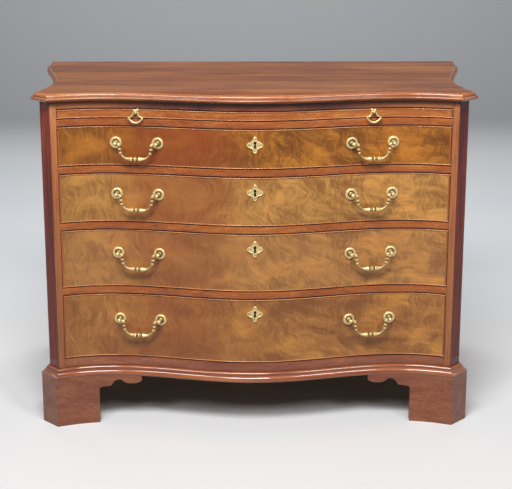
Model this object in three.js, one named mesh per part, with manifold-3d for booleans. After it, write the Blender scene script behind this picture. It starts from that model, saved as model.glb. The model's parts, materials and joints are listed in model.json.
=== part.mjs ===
// Serpentine chest of four long graduated drawers under a brushing slide.
// Millimetres, +Z up, floor at z = 0, front towards -Y, centred on X and Y.
// The front is one wave: a swell in the middle and a hollow towards each canted, fluted corner.
// The sides are shaped too, drawn in at a waist and flared towards the back.
import * as THREE from 'three';
import { mergeVertices } from 'three/addons/utils/BufferGeometryUtils.js';
import Module from 'manifold-3d';

const wasm = await Module();
wasm.setup();

// Heights, from the floor up
const footHeight = 128;
const baseHeight = 21.5;
const bottomHeight = 22.5;
const railHeight = 16.5;
const drawerHeights = [101.5, 126, 150.5, 169.5];
const slideOpening = 26.5;
const topRailHeight = 18;
const topThickness = 20;

// Plan of the carcase
const cornerHalfWidth = 495;
const stileWidth = 15;
const cantLeg = 27;
const waveDepth = 55.5;
const hollowFromCorner = 131;
const earRise = 26.5;
const waistSlack = 4;
const waistBehindEar = 170;
const backFlare = 63;
const carcaseDepth = 621;
const frontSteps = 22;
const sideSteps = 8;

// Boards and fits
const glueGap = 0.3;
const runningGap = 0.7;
const sideThickness = 16;
const postDepth = 30;
const backThickness = 12;
const backRebate = 8;
const railReach = 30;
const dustboardThickness = 10;
const guideWidth = 20;
const guideHeight = 12;
const stopLength = 34;
const stopDepth = 16;
const stopHeight = 4;
const stopCentre = 240;
const lipOverhang = 19;
const overrun = 5;

// Flutes down the canted corners
const fluteCount = 3;
const fluteRadius = 3.6;
const fluteDepth = 2.4;
const fluteEndLow = 18;
const fluteEndHigh = 14;
const fluteSides = 8;
const fluteEndSteps = 2;

// Bracket feet under the base moulding
const footInset = 0.5;
const footWall = 20;
const footFace = 99;
const wingLength = 109;
const blockReach = 60;
const baseWidth = 30;

// Drawers and brushing slide
const frontThickness = 22;
const beadWidth = 3.2;
const beadProud = 1.6;
const boxWall = 11;
const boxBottom = 7;
const bottomRecess = 6;
const boxDrop = 12;
const boxBackSpace = 18;
const slideLip = 30;
const slidePanel = 18;
const slideBackSpace = 60;

// Bail handles on pairs of dished rosettes
const handleCentre = 288;
const handleSpacing = 103;
const handleDrops = [42, 52, 60.5, 66.5];
const rosetteRadius = 14.5;
const rosetteRim = 3.6;
const pivotStandoff = 18;
const pommelRadius = 5;
const postRadius = 2.8;
const shankRadius = 2.4;
const shankClearance = 0.3;
const bailDrop = 37;
const bailRadius = 4.4;
const pinRadius = 1.5;
const pinDepth = 2.5;
const pinClearance = 0.45;

// Escutcheons over the keyholes
const escutcheonDrop = 39;
const escutcheonThickness = 2;
const sideLobe = 4.6;
const sideLobeCentre = 15.7;
const crownLobe = 3.4;
const crownLobeCentre = 17.6;
const footLobe = 4.4;
const footLobeCentre = 16.6;
const upperWaist = 6.6;
const lowerWaist = 8.2;
const keyholeRadius = 3.2;
const keyholeHeight = 16.5;
const keyholeNeck = 1.7;
const keyholeFoot = 2.8;

// Drop pulls on the slide
const pullCentre = 288;
const pullHeight = 17;
const pullHalfWidth = 18;
const pullDrop = 26;
const pullRadius = 1.7;
const pullBossRadius = 5;
const pullStandoff = 8;
const pullPommelRadius = 3.8;

// Worked out from the sizes above
const openingHalfWidth = cornerHalfWidth - stileWidth;
const earHalfWidth = cornerHalfWidth + cantLeg;
const waistHalfWidth = openingHalfWidth + waistSlack + sideThickness;
const backHalfWidth = waistHalfWidth + backFlare;
const carcaseBottom = footHeight + baseHeight;
const drawerFloors = [];
let level = carcaseBottom + bottomHeight;
for (const height of [...drawerHeights].reverse()) {
  drawerFloors.unshift(level);
  level += height + railHeight;
}
const slideFloor = level;
const carcaseTop = slideFloor + slideOpening + topRailHeight;

const mahogany = { color: 0x8e4a26, roughness: 0.35, metalness: 0 };
const flameVeneer = { color: 0xa9662c, roughness: 0.32, metalness: 0 };
const darkMahogany = { color: 0x6b3324, roughness: 0.4, metalness: 0 };
const oak = { color: 0xb08a58, roughness: 0.7, metalness: 0 };
const pine = { color: 0xb99766, roughness: 0.75, metalness: 0 };
const brass = { color: 0xb59a5a, roughness: 0.35, metalness: 1 };

// How far the front lies behind its foremost point, at a distance x from the middle
function frontDepth(x) {
  const hollow = cornerHalfWidth - hollowFromCorner;
  const away = Math.abs(x);
  if (away <= hollow) return waveDepth * (1 - Math.cos(Math.PI * away / hollow)) / 2;
  return waveDepth - earRise * ((away - hollow) / hollowFromCorner) ** 2;
}

const cornerDepth = frontDepth(cornerHalfWidth);
const earDepth = cornerDepth + cantLeg;
const postBack = earDepth + postDepth;
const railBack = postBack + railReach;
const backFace = carcaseDepth - backThickness;

// Half-width of the shaped side at a depth y
function sideHalfWidth(y) {
  const behind = y - earDepth;
  if (behind <= waistBehindEar) {
    return waistHalfWidth + (earHalfWidth - waistHalfWidth) * (1 - behind / waistBehindEar) ** 2;
  }
  const run = carcaseDepth - earDepth - waistBehindEar;
  return waistHalfWidth + backFlare * (1 - Math.cos(Math.PI * (behind - waistBehindEar) / run)) / 2;
}

// Plan of the carcase, anticlockwise from the left front corner, with one straight edge at the back
const plan = [];
for (let i = 0; i <= frontSteps; i++) {
  const x = cornerHalfWidth * (2 * i / frontSteps - 1);
  plan.push(new THREE.Vector2(x, frontDepth(x)));
}
const rightSide = [];
for (let i = 0; i <= sideSteps; i++) {
  const y = earDepth + (carcaseDepth - earDepth) * i / sideSteps;
  rightSide.push(new THREE.Vector2(sideHalfWidth(y), y));
}
plan.push(...rightSide, ...rightSide.map((p) => new THREE.Vector2(-p.x, p.y)).reverse());
const backEdge = frontSteps + 1 + sideSteps;

// The plan moved outwards by an offset, with mitred corners. The back edge only ever moves inwards.
function ring(offset) {
  const count = plan.length;
  const normals = plan.map((p, i) => {
    const along = plan[(i + 1) % count].clone().sub(p).normalize();
    return new THREE.Vector2(along.y, -along.x);
  });
  const shift = (edge) => (edge === backEdge ? Math.min(offset, 0) : offset);
  return plan.map((p, i) => {
    const edge = (i + count - 1) % count;
    const before = normals[edge];
    const after = normals[i];
    const turn = before.cross(after);
    return new THREE.Vector2(
      p.x + (shift(edge) * after.y - shift(i) * before.y) / turn,
      p.y + (shift(i) * before.x - shift(edge) * after.x) / turn,
    );
  });
}

// The stretch of a line between two values of x or y, cut exactly at both
function stretch(points, key, from, to) {
  const low = Math.min(from, to);
  const high = Math.max(from, to);
  const at = (a, b, value) => a.clone().lerp(b, (value - a[key]) / (b[key] - a[key]));
  const result = [];
  points.forEach((p, i) => {
    const q = points[i - 1];
    if (q) {
      const cuts = [low, high].filter((v) => (v - q[key]) * (v - p[key]) < 0);
      if (p[key] < q[key]) cuts.reverse();
      cuts.forEach((v) => result.push(at(q, p, v)));
    }
    if (p[key] >= low && p[key] <= high) result.push(p.clone());
  });
  return result;
}

// The front and the right side of a ring
const frontLine = (offset, from, to) => stretch(ring(offset).slice(0, frontSteps + 1), 'x', from, to);
const sideLine = (offset, from, to) => (
  stretch(ring(offset).slice(frontSteps + 1, backEdge + 1), 'y', from, to)
);
const mirrored = (points) => points.map((p) => new THREE.Vector2(-p.x, p.y)).reverse();
const handed = (points, hand) => (hand > 0 ? points : mirrored(points));

// Closed geometry with shared corners, ready to join or cut
function merged(geometry) {
  geometry.deleteAttribute('normal');
  geometry.deleteAttribute('uv');
  const shared = mergeVertices(geometry);
  const corners = shared.index.array;
  const kept = [];
  for (let i = 0; i < corners.length; i += 3) {
    const [a, b, c] = corners.slice(i, i + 3);
    if (a !== b && b !== c && c !== a) kept.push(a, b, c);
  }
  shared.setIndex(kept);
  return shared;
}

function solid(geometry) {
  const shared = merged(geometry);
  return new wasm.Manifold(new wasm.Mesh({
    numProp: 3,
    vertProperties: new Float32Array(shared.attributes.position.array),
    triVerts: new Uint32Array(shared.index.array),
  }));
}

function geometryOf(body) {
  const mesh = body.getMesh();
  const geometry = new THREE.BufferGeometry();
  geometry.setAttribute('position', new THREE.BufferAttribute(mesh.vertProperties, 3));
  geometry.setIndex(new THREE.BufferAttribute(mesh.triVerts, 1));
  return geometry;
}

const joined = (first, ...others) => (
  geometryOf(others.reduce((body, other) => body.add(solid(other)), solid(first)))
);
const cut = (first, ...others) => (
  geometryOf(others.reduce((body, other) => body.subtract(solid(other)), solid(first)))
);
const common = (first, other) => geometryOf(solid(first).intersect(solid(other)));

// A board: a plan outline raised from one height to another
function board(points, bottom, top) {
  const settings = { depth: top - bottom, bevelEnabled: false };
  return new THREE.ExtrudeGeometry(new THREE.Shape(points), settings).translate(0, 0, bottom);
}

function block(left, right, front, back, bottom, top) {
  const box = new THREE.BoxGeometry(right - left, back - front, top - bottom);
  return box.translate((left + right) / 2, (front + back) / 2, (bottom + top) / 2);
}

// Skin over rows of points, each row closed on itself, with the last row joined to the first or capped
function skin(rows, caps) {
  const count = rows[0].length;
  const positions = rows.flat().flatMap((p) => [p.x, p.y, p.z]);
  const index = [];
  const strips = caps ? rows.length - 1 : rows.length;
  for (let r = 0; r < strips; r++) {
    const next = (r + 1) % rows.length;
    for (let i = 0; i < count; i++) {
      const j = (i + 1) % count;
      const [a, b] = [r * count + i, r * count + j];
      const [c, d] = [next * count + i, next * count + j];
      index.push(a, b, d, a, d, c);
    }
  }
  if (caps) {
    const last = (rows.length - 1) * count;
    for (const [a, b, c] of THREE.ShapeUtils.triangulateShape(caps, [])) {
      index.push(c, b, a, last + a, last + b, last + c);
    }
  }
  const geometry = new THREE.BufferGeometry();
  geometry.setAttribute('position', new THREE.Float32BufferAttribute(positions, 3));
  geometry.setIndex(index);
  return geometry;
}

// A moulding round the whole plan: each profile point is an offset and a height
function moulded(profile, bottom, caps) {
  const rows = profile.map(([offset, height]) => (
    ring(offset).map((p) => new THREE.Vector3(p.x, p.y, bottom + height))
  ));
  return skin(rows, caps);
}

// A piece that follows the front between two ends: each profile point is an offset and a height
function frontPiece(profile, halfWidth) {
  const section = [...profile].reverse();
  const lines = section.map(([offset, height]) => (
    ring(offset).slice(0, frontSteps + 1).map((p) => new THREE.Vector3(p.x, p.y, height))
  ));
  const rows = lines[0].map((_, i) => lines.map((line) => line[i]));
  const heights = section.map(([, height]) => height);
  const low = Math.min(...heights) - overrun;
  const high = Math.max(...heights) + overrun;
  const outline = section.map(([offset, height]) => new THREE.Vector2(-offset, height));
  const limits = block(-halfWidth, halfWidth, -carcaseDepth, carcaseDepth, low, high);
  return common(skin(rows, outline), limits);
}

// A place on the front where something flat of a given half-width seats without cutting in
function seat(x, halfWidth) {
  const line = frontLine(0, x - halfWidth, x + halfWidth);
  const ends = [line[0], line[line.length - 1]];
  const along = ends[1].clone().sub(ends[0]).normalize();
  const out = new THREE.Vector2(along.y, -along.x);
  const proud = Math.max(...line.map((p) => p.clone().sub(ends[0]).dot(out)));
  const middle = ends[0].clone().lerp(ends[1], 1 / 2).addScaledVector(out, proud + glueGap);
  return { middle, out, turn: Math.atan2(along.y, along.x) };
}

const chest = new THREE.Group();

function piece(name, geometry, finish, parent = chest) {
  const mesh = new THREE.Mesh(merged(geometry), new THREE.MeshStandardMaterial(finish));
  mesh.name = name;
  parent.add(mesh);
  return mesh;
}

// Top: one board with a thumb moulding over a rounded nosing, drawn in underneath
const topEdgeShares = [
  [0.26, 0], [0.74, 0.13], [0.9, 0.17], [0.99, 0.27], [1, 0.4], [0.94, 0.51],
  [0.76, 0.55], [0.7, 0.6], [0.66, 0.78], [0.53, 0.92], [0.3, 1],
];
const topProfile = topEdgeShares.map(([out, up]) => (
  [out * lipOverhang, glueGap + up * (topThickness - glueGap)]
));
piece('top', moulded(topProfile, carcaseTop, ring(0)), mahogany);

// Sides, shaped in plan, rebated at the back for the back boards
const wallBottom = carcaseBottom + glueGap;
const wallTop = carcaseTop - glueGap;
for (const [name, hand] of [['left', -1], ['right', 1]]) {
  const outer = sideLine(0, postBack + glueGap, carcaseDepth);
  const inner = sideLine(-sideThickness, postBack + glueGap, backFace - glueGap);
  const rebate = [
    new THREE.Vector2(backHalfWidth - backRebate, carcaseDepth),
    new THREE.Vector2(backHalfWidth - backRebate, backFace - glueGap),
  ];
  const outline = [...outer, ...rebate, ...inner.reverse()];
  piece(`side_${name}`, board(handed(outline, hand), wallBottom, wallTop), mahogany);
}

// Canted corner posts with three stopped flutes
const cantMiddle = new THREE.Vector2(cornerHalfWidth + cantLeg / 2, cornerDepth + cantLeg / 2);
const cantAlong = new THREE.Vector2(1, 1).normalize();
const cantOut = new THREE.Vector2(1, -1).normalize();
const cantFace = cantLeg * Math.SQRT2;
const fluteLength = wallTop - fluteEndHigh - wallBottom - fluteEndLow;
for (const [name, hand] of [['left', -1], ['right', 1]]) {
  const outline = [
    ...frontLine(0, openingHalfWidth, cornerHalfWidth),
    ...sideLine(0, earDepth, postBack),
    new THREE.Vector2(openingHalfWidth, postBack),
  ];
  const flutes = [];
  for (let i = 0; i < fluteCount; i++) {
    const across = cantFace * ((i + 1) / (fluteCount + 1) - 1 / 2);
    const centre = cantMiddle.clone().addScaledVector(cantAlong, across)
      .addScaledVector(cantOut, fluteRadius - fluteDepth);
    const straight = fluteLength - 2 * fluteRadius;
    const flute = new THREE.CapsuleGeometry(fluteRadius, straight, fluteEndSteps, fluteSides);
    flute.rotateX(Math.PI / 2);
    flute.translate(hand * centre.x, centre.y, wallBottom + fluteEndLow + fluteLength / 2);
    flutes.push(flute);
  }
  piece(`post_${name}`, cut(board(handed(outline, hand), wallBottom, wallTop), ...flutes), darkMahogany);
}

// Back boards, set in the rebates
const backHalf = backHalfWidth - backRebate - glueGap;
const backSplit = (wallBottom + wallTop) / 2;
piece('back_board_lower', block(-backHalf, backHalf, backFace, carcaseDepth, wallBottom, backSplit), pine);
piece(
  'back_board_upper',
  block(-backHalf, backHalf, backFace, carcaseDepth, backSplit + glueGap, wallTop),
  pine,
);

// A rail between the posts, flush with the front
const railHalfWidth = openingHalfWidth - glueGap;
function railGeometry(bottom, top) {
  const outline = [
    ...frontLine(0, -railHalfWidth, railHalfWidth),
    new THREE.Vector2(railHalfWidth, railBack),
    new THREE.Vector2(-railHalfWidth, railBack),
  ];
  return board(outline, bottom, top);
}

// The board behind a rail, as wide as the shaped sides leave room for
function spanOutline(front) {
  const right = sideLine(-sideThickness - glueGap, front, backFace - glueGap);
  return [...right, ...mirrored(right)];
}

// Strips beside the drawer that guide its sides, as wide as the shaped side leaves room for
function guides(bottom) {
  const from = openingHalfWidth + glueGap;
  const inner = sideLine(-sideThickness - glueGap, railBack + glueGap, backFace - glueGap);
  const outer = inner.map((p) => new THREE.Vector2(Math.min(p.x, from + guideWidth), p.y));
  const start = new THREE.Vector2(from, inner[0].y);
  const end = new THREE.Vector2(from, inner[inner.length - 1].y);
  const outline = [start, ...outer, end];
  return [-1, 1].map((hand) => board(handed(outline, hand), bottom - overrun, bottom + guideHeight));
}

// Small blocks behind the drawer front that stop the drawer flush
function stops(bottom) {
  const near = -frontThickness - glueGap;
  return [-1, 1].map((hand) => {
    const [from, to] = [stopCentre - stopLength / 2, stopCentre + stopLength / 2];
    const face = frontLine(near, from, to);
    const rear = frontLine(near - stopDepth, from, to).reverse();
    return board(handed([...face, ...rear], hand), bottom - overrun, bottom + stopHeight);
  });
}

const floorNames = ['drawer_rail_1', 'drawer_rail_2', 'drawer_rail_3'];
floorNames.forEach((name, i) => {
  const top = drawerFloors[i];
  const rail = railGeometry(top - railHeight, top);
  const dustboard = board(spanOutline(railBack - overrun), top - dustboardThickness, top);
  piece(name, joined(rail, dustboard, ...guides(top), ...stops(top)), mahogany);
});
const slideRail = railGeometry(slideFloor - railHeight, slideFloor);
const slideBoard = board(spanOutline(railBack - overrun), slideFloor - dustboardThickness, slideFloor);
piece('slide_rail', joined(slideRail, slideBoard, ...guides(slideFloor)), mahogany);
piece('top_rail', railGeometry(slideFloor + slideOpening, wallTop), darkMahogany);
piece('bottom_rail', joined(railGeometry(wallBottom, drawerFloors[3]), ...stops(drawerFloors[3])), mahogany);
const bottomBoard = board(spanOutline(railBack + glueGap), wallBottom, drawerFloors[3]);
piece('bottom_board', joined(bottomBoard, ...guides(drawerFloors[3])), pine);

// Base moulding: a frame under the carcase, an ovolo over a hollow and a fillet
const baseEdgeShares = [
  [1, 0], [1, 0.24], [0.87, 0.27], [0.63, 0.4], [0.5, 0.6], [0.43, 0.78], [0.31, 0.91], [0.1, 1],
];
const baseProfile = baseEdgeShares.map(([out, up]) => [out * lipOverhang, up * baseHeight]);
baseProfile.push([-baseWidth, baseHeight], [-baseWidth, 0]);
piece('base_moulding', moulded(baseProfile, footHeight, null), mahogany);

// Bracket feet: walls that turn the corner, their wings sawn to a scroll
const scrollShares = {
  shank: 0.66, quarter: [0.06, 0.75], step: [0.29, 0.78], cusp: [0.31, 0.82],
  crown: [0.4, 0.94, 0.53, 0.9], dip: [0.6, 0.83, 0.72, 0.83], rise: [0.9, 0.83, 0.96, 0.88], end: 0.9,
};
const scrollSteps = 4;

function scrollPoints() {
  const s = scrollShares;
  const at = ([x, y]) => [x * wingLength, y * footHeight];
  const bend = ([cx, cy, x, y]) => [...at([cx, cy]), ...at([x, y])];
  const path = new THREE.Path();
  path.moveTo(0, -overrun).lineTo(...at([0, s.shank]));
  path.quadraticCurveTo(...bend([0, s.quarter[1], ...s.quarter]));
  path.lineTo(...at(s.step)).lineTo(...at(s.cusp));
  path.quadraticCurveTo(...bend(s.crown));
  path.quadraticCurveTo(...bend(s.dip));
  path.quadraticCurveTo(...bend(s.rise));
  path.lineTo(...at([1, s.end]));
  path.lineTo(wingLength + overrun, s.end * footHeight).lineTo(wingLength + overrun, -overrun);
  return path.getPoints(scrollSteps);
}

// The scroll's waste, sawn through along Y under a front wing, or along X under a side wing
function sawFront(edge, hand) {
  const shape = new THREE.Shape(scrollPoints().map((p) => new THREE.Vector2(hand * (edge - p.x), p.y)));
  const waste = new THREE.ExtrudeGeometry(shape, { depth: 2 * carcaseDepth, bevelEnabled: false });
  return waste.rotateX(Math.PI / 2).translate(0, carcaseDepth, 0);
}

function sawSide(edge, heading, hand) {
  const shape = new THREE.Shape(scrollPoints().map((p) => new THREE.Vector2(edge + heading * p.x, p.y)));
  const waste = new THREE.ExtrudeGeometry(shape, { depth: backHalfWidth + lipOverhang, bevelEnabled: false });
  waste.applyMatrix4(new THREE.Matrix4().makeBasis(
    new THREE.Vector3(0, 1, 0), new THREE.Vector3(0, 0, 1), new THREE.Vector3(1, 0, 0),
  ));
  return hand > 0 ? waste : waste.translate(-backHalfWidth - lipOverhang, 0, 0);
}

const footOut = lipOverhang - footInset;
const footTop = footHeight - glueGap;
for (const [name, hand] of [['left', -1], ['right', 1]]) {
  const wingX = cornerHalfWidth - footFace - wingLength;
  const wingY = earDepth + footFace + wingLength;
  const outer = [...frontLine(footOut, wingX, backHalfWidth), ...sideLine(footOut, 0, wingY)];
  const inside = footOut - footWall;
  const inner = [...frontLine(inside, wingX, backHalfWidth), ...sideLine(inside, 0, wingY)].reverse();
  const middle = footOut - footWall / 2;
  const corner = [
    ...frontLine(middle, cornerHalfWidth - blockReach, backHalfWidth),
    ...sideLine(middle, 0, earDepth + blockReach),
    new THREE.Vector2(cornerHalfWidth - blockReach, earDepth + blockReach),
  ];
  const walls = joined(
    board(handed([...outer, ...inner], hand), 0, footTop),
    board(handed(corner, hand), 0, footTop),
  );
  const sawn = cut(
    walls,
    sawFront(cornerHalfWidth - footFace, hand),
    sawSide(earDepth + footFace, 1, hand),
  );
  piece(`foot_front_${name}`, sawn, mahogany);

  const rearStart = carcaseDepth - footFace - wingLength;
  const rearInner = backHalfWidth - footFace;
  const rear = [
    ...sideLine(footOut, rearStart, carcaseDepth),
    new THREE.Vector2(rearInner, carcaseDepth),
    new THREE.Vector2(rearInner, carcaseDepth - footWall),
    ...sideLine(inside, rearStart, carcaseDepth - footWall).reverse(),
  ];
  const rearCorner = [
    ...sideLine(middle, carcaseDepth - blockReach, carcaseDepth - footWall / 2),
    new THREE.Vector2(backHalfWidth - blockReach, carcaseDepth - footWall / 2),
    new THREE.Vector2(backHalfWidth - blockReach, carcaseDepth - blockReach),
  ];
  const rearWalls = joined(
    board(handed(rear, hand), 0, footTop),
    board(handed(rearCorner, hand), 0, footTop),
  );
  piece(`foot_rear_${name}`, cut(rearWalls, sawSide(carcaseDepth - footFace, -1, hand)), mahogany);
}

// A veneered front with a cockbead standing proud all round
const movingHalfWidth = openingHalfWidth - runningGap;
const beadRoundShare = 0.4;

function beadedFront(height, thickness) {
  const round = beadWidth * beadRoundShare;
  const profile = [
    [-thickness, 0], [0, 0], [beadProud, round], [0, beadWidth],
    [0, height - beadWidth], [beadProud, height - round], [0, height], [-thickness, height],
  ];
  const front = frontPiece(profile, movingHalfWidth);
  const beads = [-1, 1].map((hand) => {
    const [from, to] = [movingHalfWidth - beadWidth, movingHalfWidth];
    const outline = [...frontLine(beadProud, from, to), ...frontLine(-beadWidth, from, to).reverse()];
    return board(handed(outline, hand), round, height - round);
  });
  return joined(front, ...beads);
}

// Keyhole outline, round at the head and widening again at the foot
function keyhole(grow) {
  const foot = -keyholeHeight / 2 - grow;
  const head = keyholeHeight / 2 - keyholeRadius;
  const neck = keyholeNeck + grow;
  const radius = keyholeRadius + grow;
  const lean = Math.asin(neck / radius);
  const path = new THREE.Path();
  path.moveTo(-keyholeFoot - grow, foot).lineTo(keyholeFoot + grow, foot);
  path.lineTo(neck, head - radius * Math.cos(lean));
  path.absarc(0, head, radius, lean - Math.PI / 2, 3 * Math.PI / 2 - lean, false);
  return path;
}

// Lobed escutcheon with its keyhole, its sides drawn in to waists between the lobes
const arcSteps = 3;
const lobeTurn = THREE.MathUtils.degToRad(70);
function escutcheonGeometry() {
  const quarter = Math.PI / 2;
  const lobes = [
    [sideLobeCentre, 0, sideLobe, upperWaist], [0, crownLobeCentre, crownLobe, upperWaist],
    [-sideLobeCentre, 0, sideLobe, lowerWaist], [0, -footLobeCentre, footLobe, lowerWaist],
  ];
  const shape = new THREE.Shape();
  lobes.forEach(([x, y, radius, waist], i) => {
    const [nextX, nextY, nextRadius] = lobes[(i + 1) % lobes.length];
    const middle = i * quarter;
    const next = middle + quarter;
    shape.absarc(x, y, radius, middle - lobeTurn, middle + lobeTurn, false);
    shape.quadraticCurveTo(
      waist * Math.sign(x + nextX), waist * Math.sign(y + nextY),
      nextX + nextRadius * Math.cos(next - lobeTurn), nextY + nextRadius * Math.sin(next - lobeTurn),
    );
  });
  shape.holes.push(new THREE.Path(keyhole(0).getPoints(arcSteps)));
  const settings = { depth: escutcheonThickness, bevelEnabled: false, curveSegments: arcSteps };
  return new THREE.ExtrudeGeometry(shape, settings).rotateX(Math.PI / 2);
}

// A turned piece pointing out of the front: radii and distances out from its seat
function turned(profile, segments) {
  const points = profile.map(([radius, out]) => new THREE.Vector2(radius, out));
  return merged(new THREE.LatheGeometry(points, segments)).rotateX(Math.PI);
}

// A rod along the front, centred at a distance out from the seat
function crossRod(radius, from, to, out, sides) {
  const rod = new THREE.CylinderGeometry(radius, radius, to - from, sides);
  return rod.rotateZ(Math.PI / 2).translate((from + to) / 2, -out, 0);
}

const rosetteSides = 10;
const turnedSides = 6;
const pommelShares = [[0.72, -0.8], [1, 0], [0.7, 0.8]];

// Dished rosette with its post, pommel and shank. The post leans by the difference of the two turns.
function rosetteGeometry(lean, inward) {
  const rimShares = [[1, 0], [1, 0.35], [0.88, 1], [0.6, 0.45], [0.15, 0.4]];
  const plate = [[0, 0], ...rimShares.map(([r, h]) => [r * rosetteRadius, h * rosetteRim])];
  plate.push([0, rosetteRim * rimShares[4][1]]);
  const post = [
    [0, -frontThickness], [shankRadius, -frontThickness], [shankRadius, 0], [postRadius, 0],
    ...pommelShares.map(([r, h]) => [r * pommelRadius, pivotStandoff + h * pommelRadius]),
    [0, pivotStandoff + pommelRadius],
  ];
  const [near, far] = [pommelRadius - pinDepth - pinClearance, pommelRadius + overrun];
  const [from, to] = inward > 0 ? [near, far] : [-far, -near];
  const socket = crossRod(pinRadius + pinClearance, from, to, pivotStandoff, turnedSides);
  const pommel = cut(turned(post, turnedSides), socket).rotateZ(lean);
  return joined(turned(plate, rosetteSides), pommel);
}

// A bar of changing thickness along a path in its own plane, mirrored about its middle
function turnedBar(half, sides) {
  const whole = [...half.map(([x, z, r]) => [-x, z, r]).reverse(), ...half.filter(([x]) => x > 0)];
  const rows = whole.map(([x, z, r], i) => {
    const before = whole[Math.max(i - 1, 0)];
    const after = whole[Math.min(i + 1, whole.length - 1)];
    const across = new THREE.Vector3(before[1] - after[1], 0, after[0] - before[0]).normalize();
    const row = [];
    for (let k = 0; k < sides; k++) {
      const angle = 2 * Math.PI * k / sides;
      row.push(new THREE.Vector3(x, 0, z)
        .addScaledVector(across, r * Math.cos(angle))
        .add(new THREE.Vector3(0, -r * Math.sin(angle), 0)));
    }
    return row;
  });
  const outline = rows[0].map((_, k) => {
    const angle = 2 * Math.PI * k / sides;
    return new THREE.Vector2(Math.cos(angle), Math.sin(angle));
  });
  return skin(rows, outline);
}

// Bail: places as shares of its reach and drop, thickness as a share of the bulb's radius
const bailShares = [
  [0.03, 1, 1.1], [0.04, 1, 0.45], [0.15, 1, 0.42], [0.165, 1, 1], [0.24, 0.995, 0.95],
  [0.42, 0.96, 0.66], [0.64, 0.85, 0.42], [0.77, 0.6, 0.45],
  [0.8, 0.3, 0.74], [0.81, 0.15, 0.42], [0.82, 0.02, 0.7],
];
const bailSides = 6;
function bailGeometry(reach) {
  const half = bailShares.map(([out, down, r]) => [out * reach, -down * bailDrop, r * bailRadius]);
  const collar = reach - pommelRadius - glueGap - pinRadius;
  half.push([collar, 0, pinRadius], [reach - pommelRadius + pinDepth, 0, pinRadius]);
  return turnedBar(half, bailSides);
}

// Drawers, the shallowest at the top
const shankHole = shankRadius + shankClearance;
const through = frontThickness * 3;
drawerHeights.forEach((opening, i) => {
  const drawer = new THREE.Group();
  const label = `drawer_${i + 1}`;
  drawer.position.z = drawerFloors[i] + runningGap;
  chest.add(drawer);
  const height = opening - 2 * runningGap;
  const handleLevel = height - handleDrops[i];
  const keyLevel = height - escutcheonDrop;

  const holes = [];
  for (const [name, hand] of [['left', -1], ['right', 1]]) {
    const spots = [-1, 1].map((end) => ({
      end,
      place: seat(hand * handleCentre + end * handleSpacing / 2, rosetteRadius),
    }));
    const [first, second] = spots.map((spot) => spot.place.middle);
    const chord = second.clone().sub(first);
    const turn = Math.atan2(chord.y, chord.x);
    const out = new THREE.Vector2(Math.sin(turn), -Math.cos(turn));
    for (const { end, place } of spots) {
      const lean = turn - place.turn;
      const side = end < 0 ? 'left' : 'right';
      const rosette = piece(`${label}_rosette_${name}_${side}`, rosetteGeometry(lean, -end), brass, drawer);
      rosette.position.set(place.middle.x, place.middle.y, handleLevel);
      rosette.rotation.z = place.turn;
      const hole = new THREE.CylinderGeometry(shankHole, shankHole, through, turnedSides);
      hole.rotateZ(turn).translate(place.middle.x, place.middle.y, handleLevel);
      holes.push(hole);
    }
    const bail = piece(`${label}_bail_${name}`, bailGeometry(chord.length() / 2), brass, drawer);
    const pivot = first.clone().lerp(second, 1 / 2).addScaledVector(out, pivotStandoff);
    bail.position.set(pivot.x, pivot.y, handleLevel);
    bail.rotation.z = turn;
  }

  const keyShape = new THREE.Shape(keyhole(glueGap).getPoints(arcSteps));
  const keyCut = new THREE.ExtrudeGeometry(keyShape, { depth: through, bevelEnabled: false });
  keyCut.rotateX(Math.PI / 2).translate(0, through / 2, keyLevel);
  piece(`${label}_front`, cut(beadedFront(height, frontThickness), keyCut, ...holes), flameVeneer, drawer);

  const plate = piece(`${label}_escutcheon`, escutcheonGeometry(), brass, drawer);
  const middle = seat(0, sideLobeCentre + sideLobe).middle;
  plate.position.set(middle.x, middle.y, keyLevel);

  const boxBottomLevel = glueGap - runningGap;
  const boxTop = height - boxDrop;
  const boxBack = backFace - boxBackSpace;
  const inside = movingHalfWidth - boxWall;
  const outline = [
    ...frontLine(-frontThickness - glueGap, -movingHalfWidth, movingHalfWidth),
    new THREE.Vector2(movingHalfWidth, boxBack), new THREE.Vector2(-movingHalfWidth, boxBack),
  ];
  const rear = boxBack - boxWall;
  const well = block(-inside, inside, -overrun, rear, bottomRecess + boxBottom, boxTop + overrun);
  const under = block(-inside, inside, -overrun, rear, boxBottomLevel - overrun, bottomRecess);
  piece(`${label}_box`, cut(board(outline, boxBottomLevel, boxTop), well, under), oak, drawer);
});

// Brushing slide: a panel behind a beaded lip, with two drop pulls
const slide = new THREE.Group();
slide.position.z = slideFloor + glueGap;
chest.add(slide);
const slideHeight = slideOpening - glueGap - runningGap;
const slideBack = backFace - slideBackSpace;
const panelOutline = [
  ...frontLine(glueGap - slideLip, -movingHalfWidth, movingHalfWidth),
  new THREE.Vector2(movingHalfWidth, slideBack), new THREE.Vector2(-movingHalfWidth, slideBack),
];
const slideGeometry = joined(beadedFront(slideHeight, slideLip), board(panelOutline, 0, slidePanel));
piece('slide_board', slideGeometry, mahogany, slide);

const pullShares = [
  [0, 1, 1], [0.3, 0.96, 1], [0.62, 0.82, 1], [0.86, 0.65, 1], [1, 0.5, 0.9], [0.8, 0.47, 1],
  [0.56, 0.38, 1], [0.38, 0.22, 1], [0.36, 0.1, 1],
];
function pullGeometry() {
  const half = pullShares.map(([out, down, r]) => [out * pullHalfWidth, -down * pullDrop, r * pullRadius]);
  const collar = pullPommelRadius + glueGap + pinRadius;
  half.push([collar, 0, pinRadius], [pullPommelRadius - pinDepth, 0, pinRadius]);
  return turnedBar(half, bailSides);
}

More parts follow.
